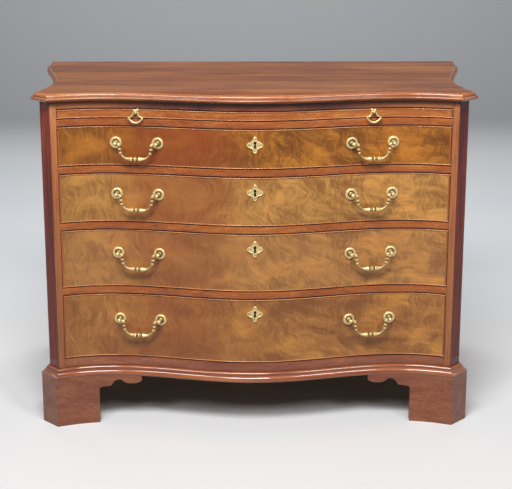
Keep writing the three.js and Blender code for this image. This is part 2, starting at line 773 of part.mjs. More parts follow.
function pullBossGeometry() {
  const bossShares = [[1, 0], [1, 0.15], [0.7, 0.3], [0.4, 0.35]];
  const profile = [
    [0, 0], ...bossShares.map(([r, h]) => [r * pullBossRadius, h * pullStandoff]),
    ...pommelShares.map(([r, h]) => [r * pullPommelRadius, pullStandoff + h * pullPommelRadius]),
    [0, pullStandoff + pullPommelRadius],
  ];
  const near = pullPommelRadius - pinDepth - pinClearance;
  const far = pullPommelRadius + overrun;
  const socketRadius = pinRadius + pinClearance;
  return cut(
    turned(profile, turnedSides),
    crossRod(socketRadius, near, far, pullStandoff, turnedSides),
    crossRod(socketRadius, -far, -near, pullStandoff, turnedSides),
  );
}

for (const [name, hand] of [['left', -1], ['right', 1]]) {
  const place = seat(hand * pullCentre, pullBossRadius);
  const boss = piece(`slide_boss_${name}`, pullBossGeometry(), brass, slide);
  boss.position.set(place.middle.x, place.middle.y, pullHeight);
  boss.rotation.z = place.turn;
  const pull = piece(`slide_pull_${name}`, pullGeometry(), brass, slide);
  const pivot = place.middle.clone().addScaledVector(place.out, pullStandoff);
  pull.position.set(pivot.x, pivot.y, pullHeight);
  pull.rotation.z = place.turn;
}

// The origin is under the middle of the whole chest
const extent = new THREE.Box3().setFromObject(chest).getCenter(new THREE.Vector3());
chest.position.y = -extent.y;

export default chest;
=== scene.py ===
# Serpentine chest of four long drawers under a brushing slide: waxed mahogany, flame veneer on the
# drawer fronts, cast brass handles. Lengths are in metres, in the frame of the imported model.
import json
import math

import bmesh
import bpy
import numpy as np
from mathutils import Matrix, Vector


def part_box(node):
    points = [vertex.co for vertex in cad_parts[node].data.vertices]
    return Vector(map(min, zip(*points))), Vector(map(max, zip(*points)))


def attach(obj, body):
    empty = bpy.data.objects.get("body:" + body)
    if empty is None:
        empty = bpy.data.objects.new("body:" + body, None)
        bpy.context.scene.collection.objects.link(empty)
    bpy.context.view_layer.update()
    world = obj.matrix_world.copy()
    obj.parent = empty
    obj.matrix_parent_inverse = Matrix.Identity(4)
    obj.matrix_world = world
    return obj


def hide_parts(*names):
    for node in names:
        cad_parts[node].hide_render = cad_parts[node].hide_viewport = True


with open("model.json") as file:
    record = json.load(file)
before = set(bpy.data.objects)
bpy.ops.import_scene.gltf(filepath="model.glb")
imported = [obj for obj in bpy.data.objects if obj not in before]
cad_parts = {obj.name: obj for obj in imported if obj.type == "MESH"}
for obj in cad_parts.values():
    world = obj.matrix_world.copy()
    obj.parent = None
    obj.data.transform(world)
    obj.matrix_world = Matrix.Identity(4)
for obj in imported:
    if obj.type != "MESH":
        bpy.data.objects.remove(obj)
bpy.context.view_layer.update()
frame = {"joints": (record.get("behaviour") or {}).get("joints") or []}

# Shaped sides. Two mahogany boards with upright grain, sawn in plan to a narrow waist and a flare at
# the back, then planed, scraped, stained and waxed. A rebate at the back takes the back boards.
corner_x = 0.495
cant_leg = 0.027
stile_width = 0.015
wave_depth = 0.0555
hollow_x = 0.364
ear_rise = 0.0265
waist_x = 0.5
waist_behind_ear = 0.17
back_flare = 0.063
carcase_depth = 0.621
side_thickness = 0.016
post_depth = 0.03
back_thickness = 0.012
back_rebate = 0.008
glue_gap = 0.0003
front_steps = 120
side_steps = 44
front_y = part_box("top_rail")[0].y
opening_x = corner_x - stile_width
ear_x = corner_x + cant_leg
back_x = waist_x + back_flare


def levels(node):
    """The lowest and highest level of a solid."""
    low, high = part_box(node)
    return low.z, high.z


wall_bottom, wall_top = levels("side_left")


def front_depth(x):
    """How far the front lies behind its foremost point, at a distance x from the middle."""
    if abs(x) <= hollow_x:
        return wave_depth * (1 - math.cos(math.pi * x / hollow_x)) / 2
    return wave_depth - ear_rise * ((abs(x) - hollow_x) / (corner_x - hollow_x)) ** 2


ear_depth = front_depth(corner_x) + cant_leg
post_back = ear_depth + post_depth
back_face = carcase_depth - back_thickness


def side_x(depth):
    """Half the width over the shaped sides at a depth behind the foremost point."""
    behind = depth - ear_depth
    if behind <= waist_behind_ear:
        return waist_x + (ear_x - waist_x) * (1 - behind / waist_behind_ear) ** 2
    turn = math.pi * (behind - waist_behind_ear) / (carcase_depth - ear_depth - waist_behind_ear)
    return waist_x + back_flare * (1 - math.cos(turn)) / 2


def mitres(line, ends):
    """How far each point of a line goes when the line moves outwards by one. Its ends stay on one x or y."""
    along = np.diff(line, axis=0)
    along /= np.linalg.norm(along, axis=1)[:, None]
    out = np.stack([along[:, 1], -along[:, 0]], axis=1)
    before, after = np.vstack([out[:1], out]), np.vstack([out, out[-1:]])
    moves = (before + after) / (1 + (before * after).sum(axis=1))[:, None]
    for end in (0, -1):
        moves[end] = (0, 1 / out[end][1]) if ends == "x" else (1 / out[end][0], 0)
    return moves


def moved(line, offset, ends="x"):
    """The line moved outwards by an offset, with mitred corners."""
    return np.asarray(line) + mitres(np.asarray(line), ends) * offset


def front_line(left, right, offset=0.0):
    """The front between two values of x, moved outwards by an offset."""
    steps = max(2, round(front_steps * (right - left) / (2 * corner_x)))
    line = [(x, front_y + front_depth(x)) for x in np.linspace(left, right, steps + 1)]
    return moved(np.array(line), offset)


def side_line(start, end, offset=0.0):
    """The right side between two depths, moved outwards by an offset."""
    line = [(side_x(d), front_y + d) for d in np.linspace(start, end, side_steps + 1)]
    return moved(np.array(line), offset, "y")


def handed(points, hand):
    """Plan points as they are for the right hand, or mirrored for the left."""
    return [(hand * x, y) for x, y in points]


def shade(mesh, crease=35):
    """Smooth shading between faces that meet at less than a crease angle in degrees."""
    mesh.shade_smooth()
    mesh.set_sharp_from_angle(angle=math.radians(crease))
    return mesh


def trued(mesh, ease=0.0, crease=35):
    """A closed mesh with doubles merged, holes filled, faces outwards and sharp edges eased by a bevel."""
    work = bmesh.new()
    work.from_mesh(mesh)
    bmesh.ops.remove_doubles(work, verts=work.verts, dist=1e-6)
    bmesh.ops.holes_fill(work, edges=[e for e in work.edges if e.is_boundary], sides=0)
    bmesh.ops.recalc_face_normals(work, faces=work.faces)
    if ease:
        sharp = [e for e in work.edges if e.is_manifold and e.calc_face_angle(0) > math.radians(crease)]
        bmesh.ops.bevel(work, geom=sharp, offset=ease, segments=2, profile=0.5, affect="EDGES")
    work.to_mesh(mesh)
    work.free()
    return shade(mesh, crease)


def solid(rows, ring=False, ease=0.0, crease=35, patina=None):
    """A mesh over rows of points, each row closed on itself: capped at its ends, or joined in a ring.
    Patina is a number kept for each row.
    """
    count = len(rows[0])
    points = [tuple(float(v) for v in p) for row in rows for p in row]
    faces = []
    for r in range(len(rows) if ring else len(rows) - 1):
        a, b = r * count, (r + 1) % len(rows) * count
        faces += [(a + i, a + (i + 1) % count, b + (i + 1) % count, b + i) for i in range(count)]
    if not ring:
        faces += [tuple(range(count))[::-1], tuple(range(len(points) - count, len(points)))]
    mesh = bpy.data.meshes.new("work")
    mesh.from_pydata(points, [], faces)
    if patina:
        note = mesh.attributes.new("patina", "FLOAT", "POINT")
        note.data.foreach_set("value", np.repeat(np.array(patina, float), count))
    return trued(mesh, ease, crease)


def board(outline, low, high, ease=0.0006):
    """A board of a plan outline between two heights, with its edges eased."""
    return solid([[(x, y, z) for x, y in outline] for z in (low, high)], ease=ease)


def piece(name, mesh, finish, body, nodes=()):
    """Puts a finished mesh in the chest: its finish, its body and the solids it stands for."""
    made = bpy.data.objects.new(name, mesh)
    bpy.context.scene.collection.objects.link(made)
    mesh.materials.clear()
    mesh.materials.append(finish)
    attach(made, body)
    if nodes:
        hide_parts(*nodes)


def linear(hex_colour):
    """An sRGB hex value as a linear colour."""
    parts = [int(hex_colour[i:i + 2], 16) / 255 for i in (1, 3, 5)]
    return [p / 12.92 if p <= 0.04045 else ((p + 0.055) / 1.055) ** 2.4 for p in parts] + [1]


def add(tree, kind, inputs=None, stops=None, **settings):
    """Adds a node with its settings. Its inputs are values, or other nodes or outputs that link to them."""
    made = tree.nodes.new(kind)
    for key, value in settings.items():
        setattr(made, key, value)
    for key, value in (inputs or {}).items():
        value = value.outputs[0] if isinstance(value, bpy.types.Node) else value
        if isinstance(value, bpy.types.NodeSocket):
            tree.links.new(value, made.inputs[key])
        else:
            made.inputs[key].default_value = value
    if stops:
        ramp = made.color_ramp.elements
        while len(ramp) < len(stops):
            ramp.new(1)
        for spot, (place, colour) in zip(ramp, stops):
            spot.position, spot.color = place, linear(colour)
    return made


def new_material(name):
    """A material with only an output, and its tree."""
    made = bpy.data.materials.new(name)
    made.use_nodes = True
    made.node_tree.nodes.clear()
    return made, made.node_tree


def dress(tree, colour, rough, relief, strength, deep, gloss):
    """The end of a material: its colour and roughness, a relief of a strength and a depth, and its gloss."""
    bump = add(tree, "ShaderNodeBump", {"Height": relief, "Strength": strength, "Distance": deep})
    skin = add(tree, "ShaderNodeBsdfPrincipled", {
        "Base Color": colour, "Roughness": rough, "Normal": bump, **gloss})
    add(tree, "ShaderNodeOutputMaterial", {"Surface": skin})


fibre_size, fleck_size, cloud_size = (0.0026, 0.11), (0.001, 0.018), (0.12, 0.3)
tone_places = (0.36, 0.46, 0.55, 0.64)
# Pores are the wood's own; the wax-and-shade colour is dark wax and painted shade in quirks and gaps.
pore_colour, wax_and_shade_colour = "#2a120a", "#420f04"


def straight_wood(name, tones, grain, pores=0.35, polish=0.3, coat=0.35, figure=(0.022, 0.32), leaf=False,
                  painted_paler_ends=None):
    """Straight-grained wood, its fibres along an axis of the object or of its own leaf, with a rubbed wax
    polish. It darkens where the wax-and-shade note is high: partly dark wax, partly painted shade in
    quirks, gaps and under edges. Painted paler ends are a colour that stands for painted light, and the
    distances from the middle between which the wood turns to it.

    Sizes are the width and length of a mark; figure is that of the bands. The pores are really 0.2 mm by
    4 mm, too fine to show, and are drawn about 1 mm by 18 mm.
    """
    made, tree = new_material(name)
    if leaf:
        place = add(tree, "ShaderNodeAttribute", attribute_name="leaf").outputs["Vector"]
    else:
        place = add(tree, "ShaderNodeTexCoord").outputs["Object"]
    marked = []
    for (width, length), detail, twist in ((figure, 3.0, 0.5), (fibre_size, 3.0, 0.2), (fleck_size, 1.0, 0.0),
                                           (cloud_size, 2.0, 0.3)):
        sizes = [1 / width] * 3
        sizes["XYZ".index(grain)] = 1 / length
        laid = add(tree, "ShaderNodeMapping", {"Vector": place, "Scale": sizes})
        marked.append(add(tree, "ShaderNodeTexNoise", {
            "Vector": laid, "Scale": 1.0, "Detail": detail, "Roughness": 0.55, "Distortion": twist}))
    bands, fibres, flecks, cloud = marked
    tone = fine = add(tree, "ShaderNodeMath", {0: fibres, 1: 0.34}, operation="MULTIPLY")
    for part, share in ((bands, 0.4), (cloud, 0.26)):
        tone = add(tree, "ShaderNodeMath", {0: part, 1: share, 2: tone}, operation="MULTIPLY_ADD")
    colour = add(tree, "ShaderNodeValToRGB", {"Fac": tone}, stops=list(zip(tone_places, tones)))
    # Painted light: towards its ends the wood turns to a paler colour.
    if painted_paler_ends:
        side = add(tree, "ShaderNodeSeparateXYZ", {0: place}).outputs["X"]
        side = add(tree, "ShaderNodeMath", {0: side}, operation="ABSOLUTE")
        share = add(tree, "ShaderNodeMapRange", {
            "Value": side, "From Min": painted_paler_ends[1], "From Max": painted_paler_ends[2]}, interpolation_type="SMOOTHSTEP")
        colour = add(tree, "ShaderNodeMixRGB", {"Fac": share, "Color1": colour, "Color2": linear(painted_paler_ends[0])})
    pits = add(tree, "ShaderNodeMapRange", {
        "Value": flecks, "From Min": 0.58, "From Max": 0.7, "To Min": 0.0, "To Max": pores})
    # Pores darken the wood; the wax-and-shade note darkens it with dark wax and painted shade.
    wax = add(tree, "ShaderNodeAttribute", attribute_name="wax").outputs["Fac"]
    for share, dark in ((pits, pore_colour), (wax, wax_and_shade_colour)):
        colour = add(tree, "ShaderNodeMixRGB", {"Fac": share, "Color1": colour, "Color2": linear(dark)})
    worn = add(tree, "ShaderNodeMapRange", {
        "Value": cloud, "From Min": 0.35, "From Max": 0.65, "To Min": polish - 0.05, "To Max": polish + 0.07})
    relief = add(tree, "ShaderNodeMath", {0: pits, 1: -0.8, 2: fine}, operation="MULTIPLY_ADD")
    dress(tree, colour, worn, relief, 0.12, 0.0006, {"IOR": 1.48, "Coat Weight": coat, "Coat Roughness": 0.1})
    return made


side_wood = straight_wood("mahogany_upright_waxed", ("#5f2c1b", "#854528", "#9c5a34", "#b0703f"), "Z")
for name, hand in (("left", -1), ("right", 1)):
    outline = [
        *side_line(post_back + glue_gap, carcase_depth),
        (back_x - back_rebate, front_y + carcase_depth),
        (back_x - back_rebate, front_y + back_face - glue_gap),
        *side_line(post_back + glue_gap, back_face - glue_gap, -side_thickness)[::-1],
    ]
    side = board(handed(outline, hand), wall_bottom, wall_top)
    piece(f"side_board_{name}", side, side_wood, "carcase", [f"side_{name}"])

# Canted corner posts. Each is one dark mahogany post with three stopped flutes cut with a scratch
# stock and rounded at both ends, and a lighter facing glued on its front edge.
flute_count = 3
flute_radius = 0.0036
flute_depth = 0.0024
flute_low = wall_bottom + 0.018
flute_high = wall_top - 0.014
flute_points = 11
end_rows = 7
facing = 0.002
cant_face = cant_leg * math.sqrt(2)
flute_rise = flute_radius - flute_depth
flute_reach = math.sqrt(flute_radius ** 2 - flute_rise ** 2)
post_wood = straight_wood("mahogany_dark_post", ("#3a100b", "#5a1d14", "#762b1d", "#8f3e28"), "Z",
                          polish=0.34, coat=0.25)
facing_wood = straight_wood("mahogany_facing_upright", ("#7a3c22", "#96552f", "#a9683a", "#bb7b48"), "Z")


def front_strip(left, right, outer, inner):
    """Plan of a strip that follows the front, between two offsets from it."""
    return [*front_line(left, right, outer), *front_line(left, right, inner)[::-1]]


def cant_outline(share):
    """Plan of a post, its flutes cut to a share of their radius."""
    start = np.array([corner_x, front_y + front_depth(corner_x)])
    along, inward = np.array([1, 1]) / math.sqrt(2), np.array([-1, 1]) / math.sqrt(2)
    points = [(opening_x, front_y + front_depth(opening_x) + facing), tuple(start + along * facing)]
    for i in range(flute_count):
        middle = cant_face * (i + 1) / (flute_count + 1)
        for a in np.linspace(-flute_reach, flute_reach, flute_points):
            cut = max(0.0, math.sqrt(max(0.0, (flute_radius * share) ** 2 - a * a)) - flute_rise)
            points.append(tuple(start + along * (middle + a) + inward * cut))
    points += [tuple(p) for p in side_line(ear_depth, post_back)]
    return points + [(opening_x, front_y + post_back)]


post_rows = [(wall_bottom, 0.0)]
for end, way in ((flute_low, 1), (flute_high, -1)):
    part = []
    for k in range(end_rows + 1):
        into = flute_radius * (1 - math.cos(math.pi / 2 * k / end_rows))
        part.append((end + way * into, math.sqrt(max(0.0, 1 - (1 - into / flute_radius) ** 2))))
    post_rows += part if way > 0 else part[::-1]
post_rows.append((wall_top, 0.0))
for name, hand in (("left", -1), ("right", 1)):
    rows = [[(x, y, z) for x, y in handed(cant_outline(share), hand)] for z, share in post_rows]
    piece(f"corner_post_{name}", solid(rows, crease=50), post_wood, "carcase",
          [f"post_{name}"])
    strip = handed(front_strip(opening_x, corner_x, 0, -facing), hand)
    piece(f"corner_facing_{name}", board(strip, wall_bottom, wall_top, 0.0003), facing_wood, "carcase")

# Back boards. Four plain pine boards, rough from the jack plane, laid across in the rebates and held
# with cut nails at both ends.
back_rows = 4
board_gap = 0.0012
nail_inset = 0.011
nails_each = 3
pine_wood = straight_wood("pine_aged_unpolished", ("#8d6a3f", "#a88453", "#b8955f", "#c6a872"), "X",
                          pores=0.12, polish=0.72, coat=0.0, figure=(0.03, 0.5))


def square(half, near, far):
    """A rectangle in plan, across the middle of the chest."""
    return [(-half, near), (half, near), (half, far), (-half, far)]


def new_tree(name, **sockets):
    """A geometry tree with named inputs of the kinds given, its start node and its end node."""
    tree = bpy.data.node_groups.new(name, "GeometryNodeTree")
    tree.interface.new_socket("Geometry", in_out="OUTPUT", socket_type="NodeSocketGeometry")
    tree.interface.new_socket("Geometry", in_out="INPUT", socket_type="NodeSocketGeometry")
    for label, kind in sockets.items():
        tree.interface.new_socket(label, in_out="INPUT", socket_type="NodeSocket" + kind)
    return tree, add(tree, "NodeGroupInput").outputs, add(tree, "NodeGroupOutput")


def end_tree(tree, made, finish, result):
    """The end of a tree: what it made, with its copies made real and its finish set."""
    real = add(tree, "GeometryNodeRealizeInstances", {"Geometry": made})
    dressed = add(tree, "GeometryNodeSetMaterial", {"Geometry": real, "Material": finish})
    tree.links.new(dressed.outputs[0], result.inputs["Geometry"])


def bench(mesh):
    """An object that holds a mesh while a piece is worked from it."""
    held = bpy.data.objects.new("bench", mesh)
    bpy.context.scene.collection.objects.link(held)
    return held


def lifted(held):
    """The plain mesh that the work on a bench object has made. The bench is put away."""
    made = bpy.data.meshes.new_from_object(held.evaluated_get(bpy.context.evaluated_depsgraph_get()))
    held.modifiers.clear()
    bpy.data.objects.remove(held)
    return made


def worked(mesh, tree, **sizes):
    """The plain mesh that a tree makes from a mesh, with the tree's named inputs."""
    held = bench(mesh)
    modifier = held.modifiers.new("work", "NODES")
    modifier.node_group = tree
    for item in tree.interface.items_tree:
        if item.in_out == "INPUT" and item.name in sizes:
            modifier[item.identifier] = sizes[item.name]
    return lifted(held)


def marks(points, chain=False, **notes):
    """A mesh of points, chained by edges where asked, with named numbers or directions kept at each."""
    mesh = bpy.data.meshes.new("marks")
    edges = [(i, i + 1) for i in range(len(points) - 1)] if chain else []
    mesh.from_pydata([tuple(float(v) for v in p) for p in points], edges, [])
    for name, values in notes.items():
        values = np.array(values, float)
        kind, field = ("FLOAT_VECTOR", "vector") if values.ndim == 2 else ("FLOAT", "value")
        mesh.attributes.new(name, kind, "POINT").data.foreach_set(field, values.ravel())
    return mesh


# The tree sets one made thing at each mark, its own +Z along the mark's aim, turned at random about it.
set_out, given, result = new_tree("set_out", Thing="Object", Twist="Float", Seed="Int", Finish="Material")
thing = add(set_out, "GeometryNodeObjectInfo", {"Object": given["Thing"]})
aim = add(set_out, "GeometryNodeInputNamedAttribute", {"Name": "aim"}, data_type="FLOAT_VECTOR")
facing_out = add(set_out, "FunctionNodeAlignRotationToVector", {"Vector": aim}, axis="Z")
chance = add(set_out, "FunctionNodeRandomValue", {2: 0.0, 3: given["Twist"], "Seed": given["Seed"]},
             data_type="FLOAT")
about = add(set_out, "FunctionNodeAxisAngleToRotation", {"Axis": (0, 0, 1), "Angle": chance.outputs[1]})
turned_out = add(set_out, "FunctionNodeRotateRotation", {
    "Rotation": facing_out, "Rotate By": about}, rotation_space="LOCAL")
copies = add(set_out, "GeometryNodeInstanceOnPoints", {
    "Points": given["Geometry"], "Instance": thing.outputs["Geometry"], "Rotation": turned_out})
end_tree(set_out, copies, given["Finish"], result)


def set_at(points, aims, thing_mesh, finish, twist=0.0, seed=1, crease=35):
    """Copies of a made thing set out at points, each pointing along its aim."""
    pattern = bench(thing_mesh)
    made = worked(marks(points, aim=aims), set_out, Thing=pattern, Twist=twist, Seed=seed, Finish=finish)
    bpy.data.objects.remove(pattern)
    return shade(made, crease)


def lathe(profile, sides=40):
    """A turned form about +Z. Each profile point is a radius, a height and, if given, its patina."""
    turns = [2 * math.pi * k / sides for k in range(sides)]
    rows = [[(r * math.cos(t), r * math.sin(t), z) for t in turns] for r, z, *_ in profile]
    return solid(rows, patina=[p[2] if len(p) > 2 else 0.0 for p in profile])


def metal(name, bright, dull, roughness, rust=0.0):
    """Cast or forged metal, bright where it is rubbed and dull where the patina note is high. Old lacquer
    and dust take half of its mirror. Handling marks are 9 mm wide, and its grit, 0.8 mm.
    """
    made, tree = new_material(name)
    place = add(tree, "ShaderNodeTexCoord").outputs["Object"]
    patina = add(tree, "ShaderNodeAttribute", attribute_name="patina").outputs["Fac"]
    handling = add(tree, "ShaderNodeTexNoise", {"Vector": place, "Scale": 1 / 0.009, "Detail": 3.0})
    grit = add(tree, "ShaderNodeTexNoise", {"Vector": place, "Scale": 1 / 0.0008, "Detail": 2.0})
    spots = add(tree, "ShaderNodeMapRange", {
        "Value": handling, "From Min": 0.45, "From Max": 0.72, "To Min": 0.0, "To Max": 0.35 + rust})
    amount = add(tree, "ShaderNodeMath", {0: patina, 1: spots}, operation="ADD", use_clamp=True)
    colour = add(tree, "ShaderNodeMixRGB", {"Fac": amount, "Color1": linear(bright), "Color2": linear(dull)})
    rough, clean = [add(tree, "ShaderNodeMapRange", {"Value": amount, "To Min": rubbed, "To Max": dirty})
                    for rubbed, dirty in ((roughness, roughness + 0.3), (0.5, 0.3))]
    dress(tree, colour, rough, grit, 0.15, 0.0002, {"Metallic": clean})
    return made


iron = metal("iron_hand_forged", "#4a4643", "#2b221c", 0.5, 0.5)
nail = [(0.0001, -0.003), (0.0009, -0.003), (0.0009, -0.0004), (0.0022, 0.0), (0.002, 0.0006),
        (0.0012, 0.001), (0.0001, 0.0011)]
back_edge = back_x - back_rebate - glue_gap
back_y = front_y + carcase_depth
each = (wall_top - wall_bottom) / back_rows
nail_marks = []
for i in range(back_rows):
    low = wall_bottom + i * each + (board_gap / 2 if i else 0)
    high = wall_bottom + (i + 1) * each - (board_gap / 2 if i < back_rows - 1 else 0)
    name = "back_board_lower" if i < back_rows / 2 else "back_board_upper"
    panel = board(square(back_edge, front_y + back_face, back_y), low, high, 0.0012)
    piece(f"back_panel_{i + 1}", panel, pine_wood, "carcase",
          [name] if i in (0, back_rows - 1) else ())
    for hand in (-1, 1):
        nail_marks += [(hand * (back_edge - nail_inset), back_y, low + (high - low) * (k + 0.5) / nails_each)
                       for k in range(nails_each)]
back_nails = set_at(nail_marks, [(0, 1, 0)] * len(nail_marks), lathe(nail, 8), iron, twist=math.tau, seed=3)
piece("back_nails", back_nails, iron, "carcase")

# Rails, dustboards, guides and stops. Each rail is a mahogany board sawn to the serpentine, with a
# pine dustboard housed behind it, oak guides for the drawer sides, and small glued stop blocks.
drawer_floors = (0.6675, 0.525, 0.358, 0.172)
rail_height = 0.0165
slide_floor = 0.7855
slide_opening = 0.0265
rail_back = post_back + 0.03
dust_thickness = 0.01
guide_width, guide_height = 0.02, 0.012
stop_length, stop_depth, stop_height, stop_centre = 0.034, 0.016, 0.004, 0.24
front_thickness = 0.022
rail_x = opening_x - glue_gap
inside_wall = side_line(rail_back + glue_gap, back_face - glue_gap, -side_thickness - glue_gap)
rail_wood = straight_wood("mahogany_rail_polished", ("#7a3a16", "#964e1f", "#a95d28", "#bc7436"), "X",
                          polish=0.27, coat=0.25, figure=(0.012, 0.26))
# The bottom rail's darker, duller tones are painted shade: light falling off low on the chest.
low_rail_wood = straight_wood("mahogany_bottom_rail_painted_shade", ("#6d3423", "#84472f", "#945638", "#a56a45"), "X")
oak_wood = straight_wood("oak_quartered_bare", ("#7c5a34", "#957045", "#a98453", "#b99766"), "Y",
                         pores=0.3, polish=0.66, coat=0.0, figure=(0.02, 0.4))


def fronted(half, offset, back):
    """Plan of a board with a straight back, its front at an offset from the serpentine."""
    return [*front_line(-half, half, offset), (half, back), (-half, back)]


def rail(low, high):
    """A rail between the posts, its front sawn to the serpentine."""
    return board(fronted(rail_x, 0, front_y + rail_back), low, high, 0.0004)


def joined(meshes):
    """Several meshes as one."""
    work = bmesh.new()
    for mesh in meshes:
        work.from_mesh(mesh)
    made = bpy.data.meshes.new("work")
    work.to_mesh(made)
    work.free()
    return shade(made)


def both_hands(outline, low, high, ease=0.0006):
    """A board on the right and its mirror image on the left."""
    return joined([board(handed(outline, hand), low, high, ease) for hand in (-1, 1)])


def dustboard(low, high):
    """The board behind a rail, as wide as the shaped sides leave room for."""
    return board([*inside_wall, *handed(inside_wall, -1)[::-1]], low, high)


def guides(floor):
    """Strips beside the drawer that keep it running straight."""
    near = opening_x + glue_gap
    outer = [(min(x, near + guide_width), y) for x, y in inside_wall]
    outline = [(near, outer[0][1]), *outer, (near, outer[-1][1])]
    return both_hands(outline, floor, floor + guide_height)


def stops(floor):
    """Blocks behind the drawer front that stop it flush with the rails."""
    low, high = stop_centre - stop_length / 2, stop_centre + stop_length / 2
    near = -front_thickness - glue_gap
    return both_hands(front_strip(low, high, near, near - stop_depth), floor, floor + stop_height)


for i, floor in enumerate(drawer_floors, start=1):
    if i < len(drawer_floors):
        piece(f"rail_{i}", rail(floor - rail_height, floor), rail_wood, "carcase",
              [f"drawer_rail_{i}"])
        piece(f"dustboard_{i}", dustboard(floor - dust_thickness, floor), pine_wood, "carcase")
    else:
        piece("rail_bottom", rail(wall_bottom, floor), low_rail_wood, "carcase", ["bottom_rail"])
        piece("carcase_bottom", dustboard(wall_bottom, floor), pine_wood, "carcase",
              ["bottom_board"])
    piece(f"guides_{i}", guides(floor), oak_wood, "carcase")
    piece(f"stops_{i}", stops(floor), oak_wood, "carcase")
piece("rail_under_slide", rail(slide_floor - rail_height, slide_floor), rail_wood, "carcase",
      ["slide_rail"])
piece("dustboard_under_slide", dustboard(slide_floor - dust_thickness, slide_floor), pine_wood, "carcase")
piece("guides_slide", guides(slide_floor), oak_wood, "carcase")
# The frieze's dark tones are painted shade of the top's overhanging lip, and its paler ends painted light.
frieze_wood = straight_wood("mahogany_frieze_painted_lip_shade", ("#4c1c12", "#6b2f1d", "#854228", "#9c5734"), "X",
                            painted_paler_ends=("#b0683a", 0.2, 0.42))
piece("rail_top", rail(slide_floor + slide_opening, wall_top), frieze_wood, "carcase",
      ["top_rail"])

# Base moulding. A mahogany frame glued under the carcase, worked with moulding planes to an ovolo
# over a hollow and a fillet, mitred at the canted corners.
lip_overhang = 0.019
base_width = 0.03
base_low, base_high = levels("base_moulding")


def bend(centre, size, start, end, steps=7):
    """Points on a part of an ellipse, from one angle in degrees to another."""
    return [(centre[0] + size[0] * math.cos(math.radians(a)), centre[1] + size[1] * math.sin(math.radians(a)))
            for a in np.linspace(start, end, steps + 1)]


whole = np.array([
    *[(-side_x(d), front_y + d) for d in np.linspace(carcase_depth, ear_depth, side_steps + 1)],
    *[(x, front_y + front_depth(x)) for x in np.linspace(-corner_x, corner_x, front_steps + 1)],
    *[(side_x(d), front_y + d) for d in np.linspace(ear_depth, carcase_depth, side_steps + 1)],
])

# The tree sweeps a profile along a line of marks. A profile point's x is how far it stands out, along
# the mark's mitre, and its z is its height. Its y, the way round the profile, goes in the leaf note,
# and its darkening goes in the wax-and-shade note: dark wax gathered there, and painted shade.
plane_along, given, result = new_tree("plane_along", Profile="Object", Finish="Material")
profile_in = add(plane_along, "GeometryNodeObjectInfo", {"Object": given["Profile"]}).outputs["Geometry"]
long_count, round_count = [
    add(plane_along, "GeometryNodeAttributeDomainSize", {0: source}).outputs["Point Count"]
    for source in (given["Geometry"], profile_in)]
sheet = add(plane_along, "GeometryNodeMeshGrid", {"Vertices X": long_count, "Vertices Y": round_count})
number = add(plane_along, "GeometryNodeInputIndex")
along_at, round_at = [
    add(plane_along, "FunctionNodeIntegerMath", {0: number, 1: round_count}, operation=way)
    for way in ("DIVIDE_FLOOR", "MODULO")]
spot = add(plane_along, "GeometryNodeInputPosition")
mitre = add(plane_along, "GeometryNodeInputNamedAttribute", {"Name": "mitre"}, data_type="FLOAT_VECTOR")
length = add(plane_along, "GeometryNodeInputNamedAttribute", {"Name": "run"}, data_type="FLOAT")
wax = add(plane_along, "GeometryNodeInputNamedAttribute", {"Name": "wax"}, data_type="FLOAT")
place, out, section, gone, dark = [
    add(plane_along, "GeometryNodeSampleIndex", {"Geometry": source, "Value": value, "Index": at},
        data_type=kind, domain="POINT")
    for source, value, at, kind in (
        (given["Geometry"], spot, along_at, "FLOAT_VECTOR"),
        (given["Geometry"], mitre, along_at, "FLOAT_VECTOR"),
        (profile_in, spot, round_at, "FLOAT_VECTOR"),
        (given["Geometry"], length, along_at, "FLOAT"),
        (profile_in, wax, round_at, "FLOAT"))]
parts = add(plane_along, "ShaderNodeSeparateXYZ", {0: section}).outputs
pushed = add(plane_along, "ShaderNodeVectorMath", {0: out, "Scale": parts["X"]}, operation="SCALE")
raised = add(plane_along, "ShaderNodeCombineXYZ", {"Z": parts["Z"]})
sunk = add(plane_along, "ShaderNodeVectorMath", {0: pushed, 1: raised}, operation="ADD")
final = add(plane_along, "ShaderNodeVectorMath", {0: place, 1: sunk}, operation="ADD")
laid = add(plane_along, "GeometryNodeSetPosition", {"Geometry": sheet, "Position": final})
leaf_at = add(plane_along, "ShaderNodeCombineXYZ", {"X": gone, "Y": parts["Y"]})
noted = add(plane_along, "GeometryNodeStoreNamedAttribute", {
    "Geometry": laid, "Name": "leaf", "Value": leaf_at}, data_type="FLOAT_VECTOR", domain="POINT")
wax_and_shade_stored = add(plane_along, "GeometryNodeStoreNamedAttribute", {
    "Geometry": noted, "Name": "wax", "Value": dark}, data_type="FLOAT", domain="POINT")
end_tree(plane_along, wax_and_shade_stored, given["Finish"], result)


def run_along(line, ends, profile, finish, level):
    """A moulding planed along a line. Profile points are how far out, how high above a level and, if
    given, how dark it is there: partly dark wax gathered, partly painted shade in quirks and under edges.
    """
    line = np.asarray(line)
    run = np.concatenate([[0], np.cumsum(np.linalg.norm(np.diff(line, axis=0), axis=1))])
    flat = np.array([p[:2] for p in profile])
    around = np.concatenate([[0], np.cumsum(np.linalg.norm(np.diff(flat, axis=0), axis=1))])
    mitre_at = np.column_stack([mitres(line, ends), np.zeros(len(line))])
    shape = bench(marks([(o, a, level + h) for (o, h), a in zip(flat, around)],
                        wax=[p[2] if len(p) > 2 else 0.0 for p in profile]))
    made = worked(marks([(x, y, 0) for x, y in line], mitre=mitre_at, run=run), plane_along, Profile=shape,
                  Finish=finish)
    bpy.data.objects.remove(shape)
    return made


